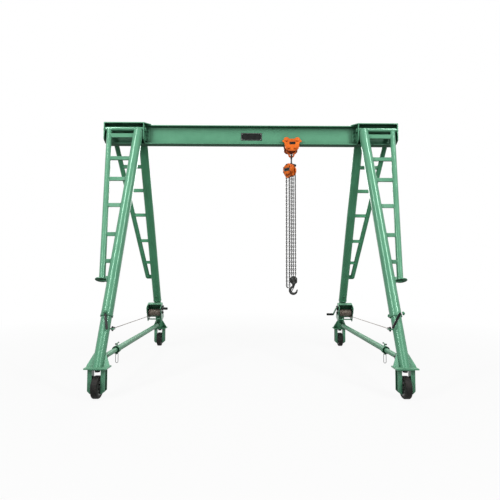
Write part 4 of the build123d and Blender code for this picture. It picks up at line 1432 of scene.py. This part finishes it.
@dataclass
class Hoist:
    """Chain hoist with its chains, hook block and hooks."""

    load: Chain = Chain(24.0, 7.5, 19.0)
    load_turns: Triple = (0.0, 45.0, 20.0)
    load_tuck: float = 28.0
    strand_inset: float = 11.0
    hand: Chain = Chain(24.0, 8.0, 21.0)
    hand_turn: float = 35.0
    hand_tuck: float = 14.0
    hand_offset: float = 24.0
    hand_half: float = 9.0
    loop_steps: int = 14
    turn_deg: float = 40.0
    middle: Triple = (494.0, 0.0, 2430.0)
    dish_out: float = 58.0
    dish_lift: float = 8.0
    dish_bolt_radius: float = 62.0
    dish_bolts: int = 6
    case_out: float = -54.0
    case_bolt_radius: float = 48.0
    case_bolts: int = 5
    cover_bolt: Pair = (13.0, 6.0)
    plate_size: Pair = (104.0, 40.0)
    plate_thickness: float = 2.5
    plate_edge: float = 0.6
    rim_size: Pair = (92.0, 28.0)
    rim_radius: float = 1.4
    # Corner radius of the plate and its rim, as a share of their height
    plate_round: float = 0.45
    boss_steps: Profile = ((30.0, 0.0), (30.0, 5.0), (27.0, 8.0), (12.0, 9.0))
    lug_place: Triple = (-57.0, 40.0, 68.0)
    lug_steps: Profile = ((13.0, 0.0), (17.0, 3.0), (17.0, 37.0), (13.0, 40.0))
    shank_foot: Triple = (511.0, 0.0, 2505.0)
    collar_steps: Profile = (
        (25.0, -1.0), (25.0, 8.0), (21.0, 12.0), (15.0, 14.0), (15.0, 24.0), (11.0, 27.0),
    )
    hook_centre: Triple = (534.0, 0.0, 922.0)
    hook_radius: float = 43.0
    hook_sweep_deg: float = 262.0
    hook_steps: int = 30
    hook_sides: int = 16
    neck: float = 12.5
    bowl_gain: float = 4.8
    tip_from: float = 0.7
    tip_thins: float = 3.5
    tip_radius: float = 5.5
    tip_reach: float = 16.0
    tip_out: float = 3.0
    swivel_z: float = 978.7
    swivel_flats: float = 33.0
    swivel_height: float = 15.6
    swivel_edge: float = 1.5
    # From the top of the hook's bowl, and from its centre
    latch_start: Triple = (2.0, 9.0, -6.0)
    latch_end: Triple = (-22.0, 9.0, -14.0)
    latch_tail: float = 6.0
    latch_tip: float = 4.0
    latch_width: float = 18.0
    latch_edge: float = 1.0
    block_bolts: Profile = ((-22.0, 18.0), (22.0, 18.0), (0.0, -30.0))
    block_bolt: Pair = (17.0, 7.0)

    @property
    def axis(self) -> Vector:
        """Direction of the hoist's wheels, out of the hand wheel's cover."""
        turn = math.radians(self.turn_deg)
        return Vector((-math.cos(turn), -math.sin(turn), 0))

    @property
    def across(self) -> Vector:
        """Level direction square to the wheels' axis."""
        turn = math.radians(self.turn_deg)
        return Vector((math.sin(turn), -math.cos(turn), 0))

    def housing_point(self, out: float, across: float = 0.0, up: float = 0.0) -> Vector:
        """A point of the hoist's housing, from its middle.

        Args:
            out: Distance along the wheels' axis, towards the hand wheel's cover.
            across: Distance square to it, level.
            up: Height.

        Returns:
            The point.
        """
        return Vector(self.middle) + self.axis * out + self.across * across + UP * up

    def load_strands(self) -> None:
        """Hang the falls of load chain."""
        low, high = box_mm("load_chain")
        near = low.y + self.strand_inset
        falls = [
            (low.x + self.strand_inset, near),
            (high.x - self.strand_inset, near),
            ((low.x + high.x) / 2, high.y - self.strand_inset),
        ]
        work = Workpiece("load_chain_links")
        for (x, y), turn in zip(falls, self.load_turns):
            self.load.hang(work, [Vector((x, y, high.z + self.load_tuck)), Vector((x, y, low.z))], turn)
        piece = work.finish(Coat.CHAIN, "hoist", ROPE_DEG, stands_for=["load_chain"])
        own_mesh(piece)

    def hand_loop(self) -> None:
        """Hang the endless hand chain from its wheel."""
        low, high = box_mm("hand_chain")
        bottom = (low + high) / 2
        bottom.z = low.z + self.hand_offset + self.hand_half
        start = bottom + self.across * self.hand_offset
        loop = arc(bottom, start, self.axis, -math.pi, self.loop_steps)
        rise = UP * (high.z + self.hand_tuck - bottom.z)
        work = Workpiece("hand_chain_links")
        self.hand.hang(work, [loop[0] + rise, *loop, loop[-1] + rise], self.hand_turn)
        work.finish(Coat.CHAIN, "hoist", ROPE_DEG, stands_for=["hand_chain"])

    def covers(self) -> None:
        """Bolt the covers on, and fix the bare plate with its rim."""
        bolts = Workpiece("hoist_cover_bolts")
        faces = (
            (self.dish_out, self.dish_lift, self.dish_bolt_radius, self.dish_bolts),
            (self.case_out, 0.0, self.case_bolt_radius, self.case_bolts),
        )
        for out, lift, radius, count in faces:
            for angle in spread(count):
                angle += math.pi / count
                seat = self.housing_point(out, radius * math.cos(angle), lift + radius * math.sin(angle))
                bolts.bolt_head(facing(seat, self.axis * math.copysign(1, out)), *self.cover_bolt)
        bolts.finish(Coat.FORGED, "hoist")
        place = facing(self.housing_point(self.dish_out, 0.0, self.dish_lift), self.axis, self.across)
        plate = Workpiece("hoist_plate")
        outline = rounded_box(*self.plate_size, self.plate_round * self.plate_size[1])
        plate.prism(outline, self.plate_thickness, place, self.plate_edge)
        plate.finish(Coat.LACQUER, "hoist")
        trim = Workpiece("hoist_plate_rim")
        outline = rounded_box(*self.rim_size, self.plate_round * self.rim_size[1])
        trim.rim(outline, self.rim_radius, lifted(place, self.plate_thickness))
        trim.finish(Coat.ZINC, "hoist")

    def turned_parts(self) -> None:
        """Add the gear case's boss, the chain's lug and the collar of the top hook's shank."""
        boss = Workpiece("hoist_gear_boss")
        boss.lathe(self.boss_steps, facing(self.housing_point(self.case_out), -self.axis), sides=28)
        boss.finish(Coat.ORANGE, "hoist", TURNED_DEG)
        lug = Workpiece("hoist_chain_lug")
        lug.lathe(self.lug_steps, facing(self.housing_point(*self.lug_place), self.axis))
        lug.finish(Coat.FORGED, "hoist", TURNED_DEG)
        collar = Workpiece("hoist_shank_collar")
        collar.lathe(self.collar_steps, Matrix.Translation(self.shank_foot))
        collar.finish(Coat.FORGED, "hoist", TURNED_DEG)

    def forged_hook(self) -> None:
        """Forge the load hook: round at the shank, full in the bowl and thin at its tip."""
        centre = Vector(self.hook_centre)
        top = centre + UP * self.hook_radius
        seat = Vector((centre.x, centre.y, self.swivel_z))
        bowl = arc(centre, top, FORWARD, math.radians(self.hook_sweep_deg), self.hook_steps)
        onward = (bowl[-1] - bowl[-2]).normalized()
        tip = bowl[-1] + onward * self.tip_reach + RIGHT * self.tip_out
        radii = [self.neck, self.neck]
        for step in range(self.hook_steps + 1):
            share = step / self.hook_steps
            thin = self.tip_thins * max(0.0, share - self.tip_from) / (1 - self.tip_from)
            radii.append(self.neck + self.bowl_gain * math.sin(math.pi * share) - thin)
        radii.append(self.tip_radius)
        hook = Workpiece("forged_load_hook")
        hook.sweep([seat, (seat + top) / 2, *bowl, tip], radii, self.hook_sides)
        swivel = Matrix.Translation(seat)
        hook.prism(hexagon(self.swivel_flats), self.swivel_height, swivel, self.swivel_edge)
        hook.finish(Coat.FORGED, "load_hook", TURNED_DEG, stands_for=["load_hook"])
        latch = Workpiece("load_hook_latch")
        start = top + Vector(self.latch_start)
        reach = centre + Vector(self.latch_end) - start
        tail, half = self.latch_tail, self.latch_tip
        outline = [(-tail, -tail), (reach.length, -half), (reach.length, half), (-tail, tail)]
        latch.prism(outline, self.latch_width, facing(start, FORWARD, reach), self.latch_edge)
        latch.finish(Coat.IRON, "load_hook")

    def block_fittings(self) -> None:
        """Bolt the two halves of the hook block together."""
        low, high = box_mm("hook_block")
        centre = (low + high) / 2
        bolts = Workpiece("hook_block_bolts")
        for face, way in ((low.y, -1), (high.y, 1)):
            for x, z in self.block_bolts:
                seat = Vector((centre.x + x, face, centre.z + z))
                bolts.bolt_head(facing(seat, FORWARD * -way), *self.block_bolt)
        bolts.finish(Coat.IRON, "hook_block")

    def dress(self) -> None:
        """Finish the hoist, hang its chains and add its fittings and hook."""
        coat(Coat.ORANGE, "hoist_body", "hoist_hand_wheel_cover", "hoist_gear_case")
        coat(Coat.FORGED, "hoist_top_hook", "hook_block", "load_hook")
        self.load_strands()
        self.hand_loop()
        self.covers()
        self.turned_parts()
        self.forged_hook()
        self.block_fittings()


# Studio


@dataclass(frozen=True)
class SoftBox:
    """A rectangular studio lamp."""

    name: str
    place: Triple
    target: Triple
    width: float
    height: float
    watts: float

    def hang(self) -> None:
        """Set the lamp up, turned to its target."""
        lamp = bpy.data.lights.new(self.name, "AREA")
        lamp.shape = "RECTANGLE"
        lamp.size = self.width
        lamp.size_y = self.height
        lamp.energy = self.watts
        stand = bpy.data.objects.new(self.name, lamp)
        stand.visible_camera = False
        stand.location = self.place
        aim = Vector(self.target) - Vector(self.place)
        stand.rotation_euler = aim.to_track_quat("-Z", "Y").to_euler()
        bpy.context.scene.collection.objects.link(stand)


@dataclass
class Studio:
    """White room, soft lamps and the camera."""

    floor_half: float = 40.0
    floor_tone: str = "#A8A8A6"
    floor_rough: float = 0.9
    floor_specular: float = 0.1
    floor_lift: float = 0.92
    fade_from: float = 2.4
    fade_to: float = 6.5
    room_light: float = 0.12
    camera_place: Triple = (-0.0405, -5.005, 1.1527)
    camera_pitch: float = 0.0540
    camera_yaw: float = 0.0060
    camera_roll: float = 0.0028
    lens: float = 28.8
    sensor: float = 36.0
    lamps: tuple[SoftBox, ...] = (
        SoftBox("left_strip", (-3.6, -3.3, 5.6), (-2.2, -0.3, 1.4), 0.6, 4.5, 330.0),
        SoftBox("right_strip", (3.6, -3.3, 5.6), (2.2, -0.3, 1.4), 0.6, 4.5, 330.0),
        SoftBox("left_low", (-2.0, -4.0, 2.8), (1.4, -1.2, 0.5), 1.6, 1.8, 42.0),
        SoftBox("right_low", (2.0, -4.0, 2.8), (-1.4, -1.2, 0.5), 1.6, 1.8, 34.0),
        SoftBox("rear_fill", (0.0, 6.5, 4.6), (0.0, 0.3, 1.4), 6.0, 3.0, 330.0),
    )

    def seen(self, tree: Tree) -> Socket:
        """Whether a ray shows the room itself: to the camera, in a gloss or through glass.

        Args:
            tree: Node tree that asks.

        Returns:
            A socket that is 1 for such a ray.
        """
        path = add_node(tree, "ShaderNodeLightPath")
        shown = path.outputs["Is Camera Ray"]
        for kind in ("Is Glossy Ray", "Is Transmission Ray"):
            links = {0: shown, 1: path.outputs[kind]}
            shown = add_node(tree, "ShaderNodeMath", {"operation": "MAXIMUM"}, links).outputs[0]
        return shown

    def room(self) -> None:
        """Make the world: white where it is seen, and a soft even light elsewhere."""
        world = bpy.data.worlds.new("white_studio")
        bpy.context.scene.world = world
        world.use_nodes = True
        tree = world.node_tree
        tree.nodes.clear()
        ambient, white = [
            add_node(tree, "ShaderNodeBackground", {"Color": WHITE, "Strength": strength}).outputs[0]
            for strength in (self.room_light, 1.0)
        ]
        mix = add_node(tree, "ShaderNodeMixShader", links={0: self.seen(tree), 1: ambient, 2: white})
        add_node(tree, "ShaderNodeOutputWorld", links={0: mix.outputs[0]})

    def floor(self) -> None:
        """Lay a pale floor that keeps the shadow and fades into the white room."""
        material = bpy.data.materials.new("pale_studio_floor")
        material.use_nodes = True
        tree = material.node_tree
        shader = tree.nodes["Principled BSDF"]
        shader.inputs["Base Color"].default_value = linear(self.floor_tone)
        shader.inputs["Roughness"].default_value = self.floor_rough
        shader.inputs["Specular IOR Level"].default_value = self.floor_specular
        place = add_node(tree, "ShaderNodeTexCoord").outputs["Object"]
        away = add_node(tree, "ShaderNodeVectorMath", {"operation": "LENGTH"}, {0: place})
        fade = add_node(
            tree,
            "ShaderNodeMapRange",
            {"From Min": self.fade_from, "From Max": self.fade_to, "To Min": self.floor_lift, "To Max": 1.0},
            {"Value": away.outputs["Value"]},
        )
        shown = add_node(
            tree, "ShaderNodeMath", {"operation": "MULTIPLY"}, {0: fade.outputs[0], 1: self.seen(tree)}
        )
        glow = add_node(tree, "ShaderNodeEmission", {"Color": WHITE, "Strength": 1.0})
        links = {0: shown.outputs[0], 1: shader.outputs[0], 2: glow.outputs[0]}
        mix = add_node(tree, "ShaderNodeMixShader", links=links)
        tree.links.new(mix.outputs[0], tree.nodes["Material Output"].inputs["Surface"])
        half = self.floor_half
        data = bpy.data.meshes.new("studio_floor")
        corners = [(-half, -half, 0), (half, -half, 0), (half, half, 0), (-half, half, 0)]
        data.from_pydata(corners, [], [(0, 1, 2, 3)])
        data.materials.append(material)
        floor = bpy.data.objects.new("studio_floor", data)
        bpy.context.scene.collection.objects.link(floor)

    def camera(self) -> None:
        """Stand the camera where the photograph was taken from."""
        data = bpy.data.cameras.new("photo_camera")
        data.sensor_width = self.sensor
        data.lens = self.lens
        camera = bpy.data.objects.new("photo_camera", data)
        turn = (
            Matrix.Rotation(-self.camera_yaw, 4, "Z")
            @ Matrix.Rotation(math.pi / 2 + self.camera_pitch, 4, "X")
            @ Matrix.Rotation(self.camera_roll, 4, "Z")
        )
        camera.matrix_world = Matrix.Translation(self.camera_place) @ turn
        bpy.context.scene.collection.objects.link(camera)
        bpy.context.scene.camera = camera

    def build(self) -> None:
        """Set up the room, the floor, the lamps and the camera."""
        bpy.context.scene.view_settings.view_transform = "Standard"
        self.room()
        self.floor()
        for lamp in self.lamps:
            lamp.hang()
        self.camera()


def main() -> None:
    """Dress the crane and set up the studio."""
    logging.basicConfig(level=logging.INFO, format="%(name)s %(message)s")
    rng = random.Random(SEED)
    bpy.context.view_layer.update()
    Beam().dress()
    for line in LEGS:
        LadderLeg(line).dress(rng)
        Caster(line).dress()
    for side in Side:
        SideRigging(side).dress()
    Trolley().dress()
    Hoist().dress()
    Studio().build()


if __name__ == "__main__":
    main()
